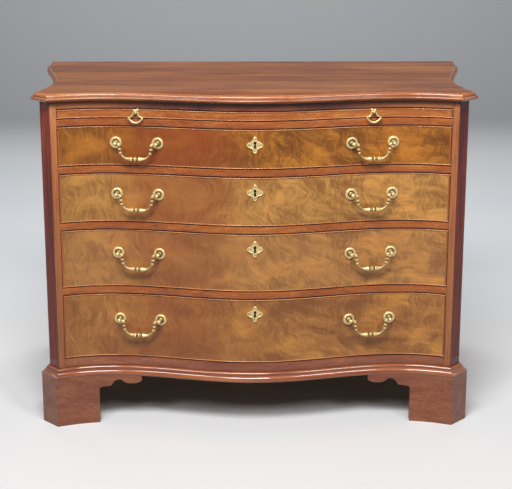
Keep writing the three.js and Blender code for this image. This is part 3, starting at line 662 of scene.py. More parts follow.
moulding_wood = straight_wood("mahogany_moulding_polished", ("#6c2f19", "#8a4726", "#a05930", "#b67242"),
                              "X", polish=0.16, coat=1.0, figure=(0.012, 0.3), leaf=True)
high = base_high - base_low
# The third number is dark wax and painted shade, at the bottom edge, in the hollow and at the top.
base_profile = [
    (-base_width, 0), (lip_overhang, 0, 0.5), (lip_overhang, 0.0048), (0.0174, 0.0056, 0.4),
    *bend((0.0174, 0.0148), (0.0082, 0.0092), 270, 180)[1:-1],
    (0.0092, 0.0148, 0.5), (0.0080, 0.0152, 0.7),
    *bend((0.0018, 0.0152), (0.0062, high - 0.0152), 0, 90)[1:-1], (0.0018, high, 0.5),
    (-base_width, high), (-base_width, 0),
]
base = trued(run_along(whole, "y", base_profile, moulding_wood, base_low), crease=28)
piece("base_moulding_frame", base, moulding_wood, "carcase", ["base_moulding"])
back_rail = board(square(back_x - base_width, back_y - base_width, back_y), base_low, base_high)
piece("base_back_rail", back_rail, pine_wood, "carcase")

# Bracket feet. Each front foot is a pair of mahogany brackets, mitred down the canted corner and
# fretted to a scroll with a bow saw, on a pine block. The rear feet have a plain bracket at the back.
_, foot_top = levels("foot_front_left")
foot_height = base_low
foot_inset = 0.0005
foot_out = lip_overhang - foot_inset
foot_wall = 0.02
foot_face = 0.099
flat_end = 0.012
wing = 0.109
block_reach = 0.06
block_low = 0.0015
# The feet's darker, duller tones are painted shade: light falling off low on the chest.
foot_wood = straight_wood("mahogany_foot_painted_shade", ("#6c3827", "#85492f", "#955a3c", "#a56b48"), "X", polish=0.34,
                          coat=0.25)


def quadratic(points, steps=9):
    """Points along a bend between two ends, drawn towards the middle point."""
    a, b, c = [np.array(p, float) for p in points]
    return [tuple((1 - t) ** 2 * a + 2 * t * (1 - t) * b + t * t * c) for t in np.linspace(0, 1, steps + 1)]


# The fretted scroll, as shares of the wing's length and of the foot's height.
scroll = [
    (0, 0), (0, 0.66), *quadratic([(0, 0.66), (0, 0.75), (0.06, 0.75)])[1:], (0.29, 0.78), (0.31, 0.82),
    *quadratic([(0.31, 0.82), (0.4, 0.94), (0.53, 0.9)])[1:],
    *quadratic([(0.53, 0.9), (0.6, 0.83), (0.72, 0.83)])[1:],
    *quadratic([(0.72, 0.83), (0.9, 0.83), (0.96, 0.88)])[1:], (1, 0.9),
]
scroll = [(out * wing, up * foot_height) for out, up in scroll]
flats = np.linspace(0, foot_face - flat_end, 10)[1:]
outer, inner = moved(whole, foot_out, "y"), moved(whole, foot_out - foot_wall, "y")
corner_at, ear_at = side_steps + 1 + front_steps, side_steps + 2 + front_steps


def front_at(line, x):
    """The place on a front line at an x."""
    run = line[side_steps + 1:corner_at + 1]
    return x, float(np.interp(x, run[:, 0], run[:, 1]))


def side_at(line, depth):
    """The place on a right side line at a depth."""
    run = line[ear_at:]
    return float(np.interp(front_y + depth, run[:, 1], run[:, 0])), front_y + depth


def both(find, place, low=0.0):
    """A bracket's outer and inner places there, with the height that the scroll leaves."""
    return find(outer, place), find(inner, place), low


def bracket(places, hand):
    """A bracket from its outer and inner places and the heights that the scroll leaves."""
    rows = [[(hand * o[0], o[1], low), (hand * o[0], o[1], foot_top), (hand * i[0], i[1], foot_top),
             (hand * i[0], i[1], low)] for o, i, low in places]
    return solid(rows, crease=30)


start_x, start_d = corner_x - foot_face, ear_depth + foot_face
front_places = [
    *[both(front_at, start_x - u, z) for u, z in scroll[::-1]], *[both(front_at, start_x + u) for u in flats],
    *[(outer[k], inner[k], 0) for k in (corner_at, ear_at)],
    *[both(side_at, start_d - u) for u in flats[::-1]], *[both(side_at, start_d + u, z) for u, z in scroll],
]
start_d = carcase_depth - foot_face
edge = side_at(outer, carcase_depth)
rear_places = [
    *[both(side_at, start_d - u, z) for u, z in scroll[::-1]],
    *[both(side_at, start_d + u) for u in flats[:-1]],
    (edge, (edge[0] - foot_wall, edge[1] - foot_wall), 0),
    ((back_x - foot_face, edge[1]), (back_x - foot_face, edge[1] - foot_wall), 0),
]
core = moved(whole, foot_out - foot_wall - glue_gap, "y")
core_back = back_y - foot_wall - glue_gap
block_x, block_depth = corner_x - block_reach, ear_depth + block_reach
front_block = [front_at(core, block_x), *core[[corner_at, ear_at]], side_at(core, block_depth),
               (block_x, front_y + block_depth)]
block_x, block_depth = back_x - block_reach, carcase_depth - block_reach
rear_block = [side_at(core, block_depth), (side_at(core, carcase_depth - foot_wall)[0], core_back),
              (block_x, core_back), (block_x, back_y - block_reach)]
for name, hand in (("left", -1), ("right", 1)):
    for end, places in (("front", front_places), ("rear", rear_places)):
        piece(f"foot_brackets_{end}_{name}", bracket(places, hand), foot_wood, "carcase",
              [f"foot_{end}_{name}"])
    blocks = joined([board(handed(block, hand), block_low, foot_top) for block in (front_block, rear_block)])
    piece(f"foot_blocks_{name}", blocks, pine_wood, "carcase")

# Moulded top. One wide mahogany board, its long grain running across the chest, the edge worked to a
# thumb over a quirk and a bold nosing, and hollowed below.
top_low, top_high = levels("top")
rise = top_high - top_low
lip = lip_overhang
# How far out and how high the edge is, in shares of its overhang and of the thickness; the third
# number darkens it, partly dark wax and partly painted shade in the quirk and under the lip.
top_profile = [
    (0.26 * lip, 0, 0.6), *bend((0.42 * lip, 0.2 * rise), (0.44 * lip, 0.2 * rise), 272, 350, 4),
    *bend((0.8 * lip, 0.36 * rise), (0.2 * lip, 0.165 * rise), -60, 90, 9), (0.69 * lip, 0.535 * rise, 0.8),
    (0.665 * lip, 0.6 * rise, 0.6), *bend((0.3 * lip, 0.62 * rise), (0.355 * lip, 0.38 * rise), 0, 90, 9)[1:],
]
top_wood = straight_wood("mahogany_top_polished", ("#793d20", "#97522b", "#ac6737", "#c17f48"), "X",
                         pores=0.45, polish=0.28, coat=0.35, figure=(0.03, 0.45))
edge = run_along(whole, "y", top_profile, top_wood, top_low)
steps, around = len(whole), len(top_profile)
work = bmesh.new()
work.from_mesh(edge)
work.verts.ensure_lookup_table()
for ring in ([i * around for i in range(steps)], [(i + 1) * around - 1 for i in range(steps)],
             [*range(around), *range(steps * around - 1, (steps - 1) * around - 1, -1)]):
    work.faces.new([work.verts[k] for k in ring])
work.to_mesh(edge)
work.free()
piece("top_board", trued(edge, crease=25), top_wood, "carcase", ["top"])

# Brushing slide. A thin mahogany board that draws out over the drawers for brushing or laying out
# clothes, its front lipped with a band that is beaded at both edges.
bead_width = 0.0047
bead_quirk = 0.0022
bead_proud = 0.0016
bead_steps = 8
quirk_depth = 2 * bead_proud
slide_lip = 0.03
slide_panel = 0.018
running_gap = 0.0007
moving_x = opening_x - running_gap
slide_low, slide_high = levels("slide_board")
slide_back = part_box("slide_board")[1].y
bead_wood = straight_wood("mahogany_cockbead", ("#8e4a22", "#ac6633", "#c88649", "#dfa566"), "X",
                          polish=0.22, coat=0.3, figure=(0.01, 0.2), leaf=True)


def beads(low, high, depth):
    """A rounded bead round the edges of a front, a little proud of it in a quirk darkened as painted shade.
    """
    half = (bead_width - bead_quirk) / 2
    nose = [(-depth, 0.0, 1.0), (-quirk_depth, 0.0, 1.0), (-quirk_depth, bead_quirk, 1.0),
            *[(o, h, 0.0 if 0 < k < bead_steps else 0.7) for k, (o, h)
              in enumerate(bend((0.0, bead_quirk + half), (bead_proud, half), -90, 90, bead_steps))],
            (-depth, bead_width, 1.0), (-depth, 0.0, 1.0)]
    line = front_line(-moving_x, moving_x)
    made = [trued(run_along(line, "x", [(o, way * h, w) for o, h, w in nose], bead_wood, level), crease=40)
            for way, level in ((1, low), (-1, high))]
    near, far = moving_x - bead_width, moving_x - bead_quirk
    across = np.linspace(near, far, bead_steps + 1)
    proud = [(x, y - bead_proud * math.sin(math.pi * k / bead_steps))
             for k, (x, y) in enumerate(zip(across, np.interp(across, *front_line(near, far).T)))]
    quirk, back = proud[-1][1] + quirk_depth, proud[-1][1] + depth
    strip = [*proud, (far, quirk), (moving_x, quirk), (moving_x, back), (near, proud[0][1] + depth)]
    return joined([*made, both_hands(strip, low + bead_width / 2, high - bead_width / 2, 0)])


def beaded_field(low, high, thickness):
    """The board inside the beads."""
    outline = front_strip(-moving_x + bead_width, moving_x - bead_width, 0, -thickness)
    return board(outline, low + bead_width, high - bead_width, 0)


slide_wood = straight_wood("mahogany_slide_lip", ("#86451c", "#a35926", "#b36a30", "#c58342"), "X",
                           polish=0.25, coat=0.25, figure=(0.01, 0.3))
piece("slide_front_beads", beads(slide_low, slide_high, slide_lip), bead_wood, "slide")
piece("slide_front_band", beaded_field(slide_low, slide_high, slide_lip), slide_wood, "slide",
      ["slide_board"])
panel = fronted(moving_x, -slide_lip - glue_gap, slide_back)
piece("slide_panel", board(panel, slide_low, slide_low + slide_panel), top_wood, "slide")

# Drawer fronts. Each is a serpentine pine board faced with flame mahogany veneer, sliced from the
# fork of a tree so that its figure sweeps up and out like a flame, under a cockbead all round.
keyhole_radius = 0.0035
keyhole_height = 0.0172
keyhole_neck = 0.0019
keyhole_foot = 0.003
escutcheon_drop = 0.039
leaf_step = 0.35
plume_fall = 0.22
heart_x, heart_colour = -0.19, "#8a3c17"
flame_places = (0.36, 0.44, 0.5, 0.56, 0.65)


def flame_veneer(name, tones, level, leaf, heart, painted_end_light):
    """Veneer from the crotch of a tree. Its plumes fall to the right from a fork near the middle, at
    a height, over cloudy wood with a red heart on the left. Leaf is its place in the pack that was
    sliced. Its streaks, really 1 mm or less, are drawn 4 mm wide.
    """
    made, tree = new_material(name)
    place = add(tree, "ShaderNodeTexCoord").outputs["Object"]
    lowered = add(tree, "ShaderNodeMapping", {"Vector": place, "Location": (0, 0, -level)})
    flat = add(tree, "ShaderNodeVectorMath", {0: lowered, 1: (1, 0, 1)}, operation="MULTIPLY")

    def cloudy(vector, size, detail, offset=0.0):
        """Noise of a size, taken from this leaf's place in the pack."""
        sliced = add(tree, "ShaderNodeMapping", {
            "Vector": vector, "Location": (offset, leaf_step * leaf, 0), "Scale": [1 / s for s in size]})
        return add(tree, "ShaderNodeTexNoise", {
            "Vector": sliced, "Scale": 1.0, "Detail": detail, "Roughness": 0.6})

    drift = cloudy(flat, (0.13, 1, 0.09), 2.0).outputs["Color"]
    about = add(tree, "ShaderNodeVectorMath", {0: drift, 1: (0.5, 0.5, 0.5)}, operation="SUBTRACT")
    bent = add(tree, "ShaderNodeVectorMath", {0: about, 1: (0.1, 0, 0.07), 2: flat}, operation="MULTIPLY_ADD")
    along, _, up = add(tree, "ShaderNodeSeparateXYZ", {0: bent}).outputs
    fall = add(tree, "ShaderNodeMath", {0: along, 1: -1 / plume_fall}, operation="MULTIPLY")
    fall = add(tree, "ShaderNodeMath", {0: fall}, operation="EXPONENT")
    across = add(tree, "ShaderNodeMath", {0: fall, 1: -plume_fall, 2: up}, operation="MULTIPLY_ADD")
    plume = add(tree, "ShaderNodeCombineXYZ", {"X": along, "Z": across})
    streaks = cloudy(plume, (0.05, 1, 0.0045), 3.0)
    ribbons = cloudy(plume, (0.075, 1, 0.019), 2.5, 3.0)
    clouds = cloudy(bent, (0.085, 1, 0.05), 2.5, 7.0)
    broad = cloudy(flat, (0.22, 1, 0.12), 1.0, 17.0)
    combed = cloudy(bent, (0.0055, 1, 0.035), 2.0, 11.0)
    grit = cloudy(flat, (0.0035, 1, 0.0035), 2.0, 13.0)
    from_heart = add(tree, "ShaderNodeMath", {0: along, 1: heart_x}, operation="SUBTRACT")
    from_heart = add(tree, "ShaderNodeMath", {0: from_heart}, operation="ABSOLUTE")
    # The tone starts higher towards the right end by the painted end light: light painted on that end.
    right_side, loose, tone, redness, mottle, worn = [
        add(tree, "ShaderNodeMapRange", {
            "Value": value, "From Min": low, "From Max": high, "To Min": least, "To Max": most},
            interpolation_type="SMOOTHSTEP")
        for value, low, high, least, most in (
            (along, -0.08, 0.1, 0.25, 1.0), (clouds, 0.42, 0.62, 1.0, 0.1),
            (along, 0.2, 0.45, 0.5, 0.5 + painted_end_light), (from_heart, 0.03, 0.2, heart, 0.0),
            (broad, 0.3, 0.6, 0.6, 1.0), (clouds, 0.35, 0.65, 0.25, 0.33))]
    for part, share, where in ((streaks, 0.18, right_side), (ribbons, 0.38, right_side), (clouds, 0.45, 1.0),
                               (broad, 0.25, 1.0), (combed, 0.36, loose), (grit, 0.17, 1.0)):
        part = add(tree, "ShaderNodeMath", {0: part, 1: 0.5}, operation="SUBTRACT")
        part = add(tree, "ShaderNodeMath", {0: part, 1: where}, operation="MULTIPLY")
        tone = add(tree, "ShaderNodeMath", {0: part, 1: share, 2: tone}, operation="MULTIPLY_ADD")
    ramp = add(tree, "ShaderNodeValToRGB", {"Fac": tone}, stops=list(zip(flame_places, tones)))
    redness = add(tree, "ShaderNodeMath", {0: redness, 1: mottle}, operation="MULTIPLY")
    colour = add(tree, "ShaderNodeMixRGB", {"Fac": redness, "Color1": ramp, "Color2": linear(heart_colour)})
    dress(tree, colour, worn, streaks, 0.06, 0.0004,
          {"IOR": 1.45, "Coat Weight": 0.2, "Coat Roughness": 0.14})
    return made


flame_tones = (
    ("#6b390a", "#7a450f", "#875117", "#9f621f", "#b97427"),
    ("#875623", "#966430", "#a47338", "#b68042", "#d19249"),
    ("#86552b", "#936133", "#9f6d3b", "#b27a40", "#c98a47"),
    ("#804b22", "#8e5829", "#9b6530", "#ac7237", "#c3853c"),
)
red_hearts = (0.85, 0.68, 0.48, 0.42)
# How much lighter each veneer's right end is painted: painted light where the lamps fall.
painted_end_lights = (0.0, 0.045, 0.05, 0.045)


def keyhole(grow, steps=24):
    """The keyhole's outline about its middle: a round head over a slot that widens to its foot."""
    foot, head = -keyhole_height / 2 - grow, keyhole_height / 2 - keyhole_radius
    neck, radius = keyhole_neck + grow, keyhole_radius + grow
    lean = math.degrees(math.asin(neck / radius))
    return [(-keyhole_foot - grow, foot), (keyhole_foot + grow, foot),
            *bend((0, head), (radius, radius), lean - 90, 270 - lean, steps)]


def cut_through(mesh, cutter):
    """The mesh with the cutter's shape taken out of it."""
    held, tool = bench(mesh), bench(cutter)
    modifier = held.modifiers.new("cut", "BOOLEAN")
    modifier.operation, modifier.solver, modifier.object = "DIFFERENCE", "EXACT", tool
    made = lifted(held)
    bpy.data.objects.remove(tool)
    return shade(made)


drawer_boxes = {i: levels(f"drawer_{i}_front") for i in range(1, 5)}
for i, (low, high) in drawer_boxes.items():
    level = high - escutcheon_drop
    slot = solid([[(x, y, level + z) for x, z in keyhole(glue_gap)]
                  for y in (front_y - front_thickness, front_y + front_thickness * 2)])
    veneer = flame_veneer(f"mahogany_flame_veneer_{i}", flame_tones[i - 1], low, i, red_hearts[i - 1],
                          painted_end_lights[i - 1])
    field = cut_through(beaded_field(low, high, front_thickness), slot)
    piece(f"drawer_{i}_veneered_front", field, veneer, f"drawer_{i}",
          [f"drawer_{i}_front"])
    piece(f"drawer_{i}_cockbead", beads(low, high, front_thickness), bead_wood, f"drawer_{i}")

# Drawer boxes. Oak sides and back, dovetailed at the corners, with a bottom of oak boards that run
# from side to side in grooves, and run on the lower edges of the sides.
box_wall = 0.011
box_bottom = 0.007
box_gap = 0.0001
front_play = 0.0005
edge_wear = 0.0008
wall_slant = 0.002
bottom_recess = 0.006
bottom_joints = 5
plank_gap = 0.0004
tail_lap = 0.0055
tail_half = 0.001
tail_proud = 0.00015
oak_cross = straight_wood("oak_bottom_boards", ("#86643b", "#9c784a", "#ad8858", "#bd9b6a"), "X",
                          pores=0.25, polish=0.7, coat=0.0, figure=(0.03, 0.5))
box_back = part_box("drawer_1_box")[1].y
inside_back = box_back - box_wall
inside_x = moving_x - box_wall - box_gap
shoulder = front_thickness + glue_gap + front_play
near = front_y + front_depth(moving_x) + shoulder
wall = [(moving_x - box_wall, near - wall_slant), (moving_x, near), (moving_x, box_back),
        (moving_x - box_wall, box_back)]
edges = np.linspace(front_y + wave_depth + front_thickness, inside_back - 2 * box_gap, bottom_joints)
planks = [fronted(inside_x, -front_thickness - 2 * glue_gap, edges[1]),
          *[square(inside_x, start + plank_gap, end) for start, end in zip(edges[1:-1], edges[2:])]]
for i in drawer_boxes:
    body = f"drawer_{i}"
    floor, rim = levels(f"drawer_{i}_box")
    bottom = floor + bottom_recess
    piece(f"drawer_{i}_sides", both_hands(wall, floor, rim, edge_wear), oak_wood, body,
          [f"drawer_{i}_box"])
    piece(f"drawer_{i}_back", board(square(inside_x, inside_back, box_back), bottom, rim, edge_wear),
          oak_cross, body)
    bottom += plank_gap
    laid = joined([board(plank, bottom, bottom + box_bottom, 0.0005) for plank in planks])
    piece(f"drawer_{i}_bottom", laid, oak_cross, body)
    tails = 3 + i // 2
    pitch = (rim - floor) / tails
    for end, wood, face, long, mouth, root, first, count in (
            ("front", oak_wood, near, shoulder - tail_lap, 0.28, 0.4, 0.5, tails),
            ("rear", oak_cross, box_back + box_gap, box_wall, 0.2, 0.126, 1, tails - 1)):
        corners = [(0, pitch * mouth), (-long, pitch * root), (-long, -pitch * root), (0, -pitch * mouth)]
        tail = solid([[(x, y, z) for y, z in corners] for x in (-tail_half, tail_half)])
        at = [(hand * (moving_x + tail_proud - tail_half), face, floor + pitch * (k + first))
              for hand in (-1, 1) for k in range(count)]
        piece(f"drawer_{i}_{end}_dovetails", set_at(at, [(0, 0, 1)] * len(at), tail, wood), wood, body)

# Escutcheons and locks. Each lobed brass plate is cast with a raised rim and pinned at its lobes over
# the keyhole, filled by a near-black block as painted shade. Behind it a brass lock is let into the back
# of the front and held by four iron screws.
side_lobe, side_lobe_centre = 0.0058, 0.0145
crown_lobe, crown_lobe_centre = 0.0044, 0.0166
foot_lobe, foot_lobe_centre = 0.005, 0.016
upper_waist, lower_waist = (0.0054, 0.0092), (0.0048, 0.0078)
lobe_turn = 70
plate_steps = 96
brass = metal("brass_cast_lacquered", "#efd294", "#55431f", 0.3)


def reach(outline, turn):
    """How far an outline reaches from the middle in a direction."""
    ray, best = np.array([math.cos(turn), math.sin(turn)]), 0.0
    for a, b in zip(outline, [*outline[1:], outline[0]]):
        a, d = np.array(a), np.array(b) - np.array(a)
        cross = ray[0] * d[1] - ray[1] * d[0]
        if abs(cross) > 1e-12:
            t, s = (a[0] * d[1] - a[1] * d[0]) / cross, (a[0] * ray[1] - a[1] * ray[0]) / cross
            if 0 <= s <= 1 and t > best:
                best = t
    return best


lobes = [(side_lobe_centre, 0, side_lobe, upper_waist), (0, crown_lobe_centre, crown_lobe, upper_waist),
         (-side_lobe_centre, 0, side_lobe, lower_waist), (0, -foot_lobe_centre, foot_lobe, lower_waist)]
plate_outline = []
for k, (x, z, radius, waist) in enumerate(lobes):
    next_x, next_z, next_radius, _ = lobes[(k + 1) % len(lobes)]
    lobe = bend((x, z), (radius, radius), 90 * k - lobe_turn, 90 * k + lobe_turn, 10)
    start = bend((next_x, next_z), (next_radius, next_radius), 90 * k + 90 - lobe_turn, 90 * k + 90, 1)[0]
    drawn_in = (math.copysign(waist[0], x + next_x), math.copysign(waist[1], z + next_z))
    plate_outline += [*lobe, *quadratic([lobe[-1], drawn_in, start])[1:-1]]
turns = [2 * math.pi * k / plate_steps for k in range(plate_steps)]
plate_rim = np.array([reach(plate_outline, t) for t in turns])
plate_hole = np.array([reach(keyhole(0), t) for t in turns])
plate_rows = [
    (1.0, 0.0, 0.0, 0.2), (1.0, 0.0, 0.0011, 0.1), (0.97, 0.0, 0.0019, 0.0), (0.91, 0.0, 0.0022, 0.0),
    (0.85, 0.0, 0.0019, 0.0), (0.81, 0.0, 0.0014, 0.35), (0.76, 0.0, 0.0013, 0.15), (0.0, 1.35, 0.0013, 0.05),
    (0.0, 1.18, 0.0019, 0.0), (0.0, 1.0, 0.0018, 0.1), (0.0, 1.0, 0.0, 0.9),
]


def plate_mesh(middle):
    """The lobed plate about a place on the front. Each row, from its edge in to the keyhole, is a share of
    the rim or of the keyhole's outline, with how far out it stands and its patina.
    """
    rows = []
    for rim_share, hole_share, out, _ in plate_rows:
        radii = plate_rim * rim_share if rim_share else plate_hole * hole_share
        rows.append([(middle[0] + r * math.cos(t), middle[1] - out, middle[2] + r * math.sin(t))
                     for r, t in zip(radii, turns)])
    return solid(rows, ring=True, crease=40, patina=[row[3] for row in plate_rows])


plate_pin = [(0.0002, -0.001, 0), (0.0022, -0.0002, 1), (0.0021, 0.00005, 1), (0.0017, 0.0, 0.9),
             (0.0013, 0.0006, 0.1), (0.0006, 0.0009, 0), (0.0001, 0.001, 0)]
pin_inset, plate_face = 0.001, 0.0013
pin_places = [(-side_lobe_centre + pin_inset, 0), (side_lobe_centre - pin_inset, 0),
              (0, crown_lobe_centre - pin_inset), (0, -foot_lobe_centre + pin_inset)]
screw = [(0.0001, -0.001, 0.3), (0.0026, -0.0002, 0.3), (0.0024, 0.0003, 0.2), (0.0001, 0.0004, 0.2)]
keyhole_shade_plug = (0.0022, 0.013)
lock_face = front_y + front_thickness
lock_half, lock_let_in, lock_thickness, lock_down = 0.033, 0.001, 0.0016, (0.047, 0.0035)
case_half, case_thickness, case_down = 0.0264, 0.007, (0.04, 0.012)
screw_x, screws_down = 0.02904, (0.042, 0.01)
lock_plate = square(lock_half, lock_face - lock_let_in, lock_face + lock_thickness)
lock_case = square(case_half, lock_face, lock_face + case_thickness)
# Near-black, the colour of painted shade in the keyhole.
keyhole_shade_black = metal("keyhole_painted_shade", "#0c0a09", "#050404", 0.7)
lock_brass = metal("brass_lock_plate", "#b3935a", "#5a4a2a", 0.36)
for i, (low, high) in drawer_boxes.items():
    body = f"drawer_{i}"
    level = high - escutcheon_drop
    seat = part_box(f"drawer_{i}_escutcheon")[1].y
    piece(f"drawer_{i}_key_plate", plate_mesh((0, seat, level)), brass, body,
          [f"drawer_{i}_escutcheon"])
    # A near-black block in the keyhole, behind the plate: painted shade of the hole.
    keyhole_shade = solid([[(x, seat + y, level + z) for x, z in keyhole(-0.0001)] for y in keyhole_shade_plug], crease=30)
    piece(f"drawer_{i}_key_guard", keyhole_shade, keyhole_shade_black, body)
    at = [(x, seat - plate_face, level + z) for x, z in pin_places]
    pins = set_at(at, [(0, -1, 0)] * len(at), lathe(plate_pin, 16), brass, crease=30)
    piece(f"drawer_{i}_key_plate_pins", pins, brass, body)
    lock = joined([board(outline, high - down[0], high - down[1], ease) for outline, down, ease in
                   ((lock_plate, lock_down, 0.0004), (lock_case, case_down, 0.0008))])
    piece(f"drawer_{i}_lock", lock, lock_brass, body)
    at = [(hand * screw_x, lock_face + lock_thickness, high - down) for hand in (-1, 1)
          for down in screws_down]
    piece(f"drawer_{i}_lock_screws", set_at(at, [(0, 1, 0)] * len(at), lathe(screw, 14), iron), iron, body)

# Bail handles. A turned and cast brass bail swings on pins in two pommels, each on a post through a
# dished rosette and the drawer front, drawn up inside by a square nut.
handle_centre = 0.288
handle_spacing = 0.103
rosette_radius = 0.0151
standoff = 0.018
ball_radius = 0.005
nut_half, nut_height = 0.0045, 0.0035
hinges = {joint["name"]: joint for joint in frame["joints"]}


def hung(name):
    """The middle of a hinge, and the level direction along its pins."""
    chord = -Vector(hinges[name]["axis"])
    chord.z = 0
    return Vector(hinges[name]["pos_m"]), chord.normalized()


def in_metres(profile):
    """A turned profile given in millimetres, with its patina."""
    return [(r / 1000, h / 1000, patina) for r, h, patina in profile]


# The tree gives a chain of marks the round thickness noted at each, closed at both ends.
turn_bar, given, result = new_tree("turn_bar", Sides="Int", Finish="Material")
chain = add(turn_bar, "GeometryNodeMeshToCurve", {"Mesh": given["Geometry"]})
thick = add(turn_bar, "GeometryNodeInputNamedAttribute", {"Name": "thickness"}, data_type="FLOAT")
circle = add(turn_bar, "GeometryNodeCurvePrimitiveCircle", {"Resolution": given["Sides"], "Radius": 1.0})
swept = add(turn_bar, "GeometryNodeCurveToMesh", {
    "Curve": chain, "Profile Curve": circle, "Scale": thick, "Fill Caps": True})
end_tree(turn_bar, swept, given["Finish"], result)


def eased_curve(points, steps=8):
    """A smooth curve through points."""
    p = np.array([points[0], *points, points[-1]], float)
    made = []
    for a, b, c, d in zip(p[:-3], p[1:-2], p[2:-1], p[3:]):
        for t in np.linspace(0, 1, steps, endpoint=False):
            made.append(((2 * b) + (c - a) * t + (2 * a - 5 * b + 4 * c - d) * t ** 2
                         + (3 * b - a - 3 * c + d) * t ** 3) / 2)
    return np.array([*made, p[-1]])


def bar(half_path, thicknesses, pivot, chord, sides=20):
    """A bar hung on a pivot in the plane of a chord. Half its path runs from the middle out, and each
    thickness is a distance along that half, a radius and a patina, all in millimetres but the last.
    """
    half = eased_curve(half_path)
    gone = np.concatenate([[0], np.cumsum(np.linalg.norm(np.diff(half, axis=0), axis=1))])
    notes = np.array(thicknesses, float)
    steps = np.unique(np.concatenate([np.linspace(0, gone[-1], 110), notes[:, 0]]).clip(0, gone[-1]))
    x, z = np.interp(steps, gone, half[:, 0]), np.interp(steps, gone, half[:, 1])
    radius = np.interp(steps, notes[:, 0], notes[:, 1])
    patina = np.interp(steps, notes[:, 0], notes[:, 2])
    x, z = np.concatenate([-x[:0:-1], x]), np.concatenate([z[:0:-1], z])
    radius, patina = [np.concatenate([v[:0:-1], v]) for v in (radius, patina)]
    points = [pivot + chord * (a / 1000) + Vector((0, 0, b / 1000)) for a, b in zip(x, z)]
    made = worked(marks(points, chain=True, thickness=radius / 1000, patina=patina), turn_bar, Sides=sides,
                  Finish=brass)
    return trued(made, crease=40)


bail_path = [
    (0, -37), (10, -37), (19, -36.5), (26, -34.4), (31.5, -30.6), (35.4, -25.4), (37.6, -19.5),
    (38.6, -13), (39.0, -7.5), (39.8, -3.0), (41.8, -0.4), (44.6, 0), (49, 0),
]
bail_turning = [
    (0, 6.1, 0), (1.1, 6.2, 0), (1.7, 5.6, 0.2), (2.2, 2.6, 1), (3.1, 2.5, 1), (3.5, 3.6, 0.2),
    (4.4, 3.6, 0.2), (4.8, 2.3, 1), (6.9, 2.3, 1), (7.4, 4.8, 0.3), (8.0, 5.5, 0), (9.6, 5.6, 0),
    (12, 5.2, 0), (15, 4.5, 0), (19, 3.7, 0.1), (24, 3.0, 0.3), (27, 2.7, 0.5), (32, 2.6, 0.5),
    (38, 2.6, 0.5), (40.2, 2.4, 0.9), (41.2, 3.7, 0.1), (43.4, 3.9, 0), (45.6, 3.6, 0.1),
    (46.8, 2.3, 1), (49.6, 2.3, 1), (50.6, 3.7, 0.1), (52.8, 4.0, 0), (55, 3.7, 0.1), (56.4, 2.3, 1),
    (59.4, 2.2, 1), (60.4, 3.5, 0.1), (62.6, 4.0, 0), (65, 3.8, 0), (67.4, 3.0, 0.3),
    (69.4, 2.2, 0.7), (70.2, 1.6, 0.8), (75, 1.6, 0.9),
]
rosette = in_metres([
    (14.6, -0.6, 0.6), (15.0, 0.2, 0.2), (15.1, 1.0, 0), (14.7, 2.2, 0), (13.8, 3.3, 0), (12.6, 4.0, 0),
    (11.2, 4.2, 0), (9.8, 3.8, 0), (8.8, 3.0, 0.2), (8.0, 2.0, 0.75), (7.2, 1.4, 1.0), (6.0, 1.4, 1.0),
    (5.2, 2.0, 0.6), (4.7, 2.8, 0.2), (4.0, 3.4, 0.3), (3.2, 4.2, 0.7), (2.8, 6, 0.7), (2.8, 10.6, 0.6),
    (3.5, 11.4, 0.1), (3.7, 12.2, 0.1), (3.1, 12.9, 0.4),
])
ball = bend((0, standoff), (ball_radius, ball_radius), -58, 88, 12)
rosette_mesh = lathe([*rosette, *ball, (0.0002, standoff + ball_radius + 0.00005)], 44)
nut = board(square(nut_half, -nut_half, nut_half), 0, nut_height, 0.0004)


def chord_seat(x, half):
    """The place on the front where something flat seats, and the way it faces out."""
    line = front_line(x - half, x + half)
    a, b = line[0], line[-1]
    along = (b - a) / np.linalg.norm(b - a)
    out = np.array([along[1], -along[0]])
    proud = max((line - a) @ out)
    return (a + b) / 2 + out * (proud + glue_gap), out


for i, (low, high) in drawer_boxes.items():
    body = f"drawer_{i}"
    level = hinges[f"drawer_{i}_bail_left_swing"]["pos_m"][2]
    spots, aims, backs = [], [], []
    for name, hand in (("left", -1), ("right", 1)):
        seats = [chord_seat(hand * handle_centre + end * handle_spacing / 2, rosette_radius)
                 for end in (-1, 1)]
        spots += [(*place, level) for place, _ in seats]
        aims += [(*out, 0) for _, out in seats]
        backs += [(*(place - out * (front_thickness + 0.0002)), level) for place, out in seats]
        made = bar(bail_path, bail_turning, *hung(f"drawer_{i}_bail_{name}_swing"))
        piece(f"drawer_{i}_handle_{name}", made, brass, f"drawer_{i}_bail_{name}",
              [f"drawer_{i}_bail_{name}"])
    made = set_at(spots, aims, rosette_mesh, brass, crease=30)
    piece(f"drawer_{i}_rosettes", made, brass, body,
          [f"drawer_{i}_rosette_{a}_{b}" for a in ("left", "right") for b in ("left", "right")])
    made = set_at(backs, [tuple(-v for v in aim) for aim in aims], nut, lock_brass, twist=math.tau, seed=i)
    piece(f"drawer_{i}_handle_nuts", made, lock_brass, body)

# Slide pulls. Two small cast brass drops with an ogee shoulder and pointed ends, each hung on a boss
# of four petals that is pinned to the slide's lip.
pull_path = [(0, -26), (5.4, -25), (11.2, -21.3), (15.5, -17), (18, -13.2), (17.2, -12.4), (14.2, -12.4),
             (10.0, -9.9), (6.8, -5.6), (5.8, -1.2), (4.6, 0), (2.4, 0)]
pull_turning = [(0, 2.5, 0), (8, 2.3, 0), (16, 2.0, 0), (22.5, 1.5, 0), (23.5, 0.9, 0), (24.8, 1.4, 0.2),
                (28, 2.0, 0.1), (34, 2.2, 0), (40, 2.0, 0.1), (43, 1.6, 0.4), (46, 1.3, 0.7)]
petals, petal_steps = 4, 12
petal_root, petal_length, petal_curve = 4.2, 4.4, 1.5
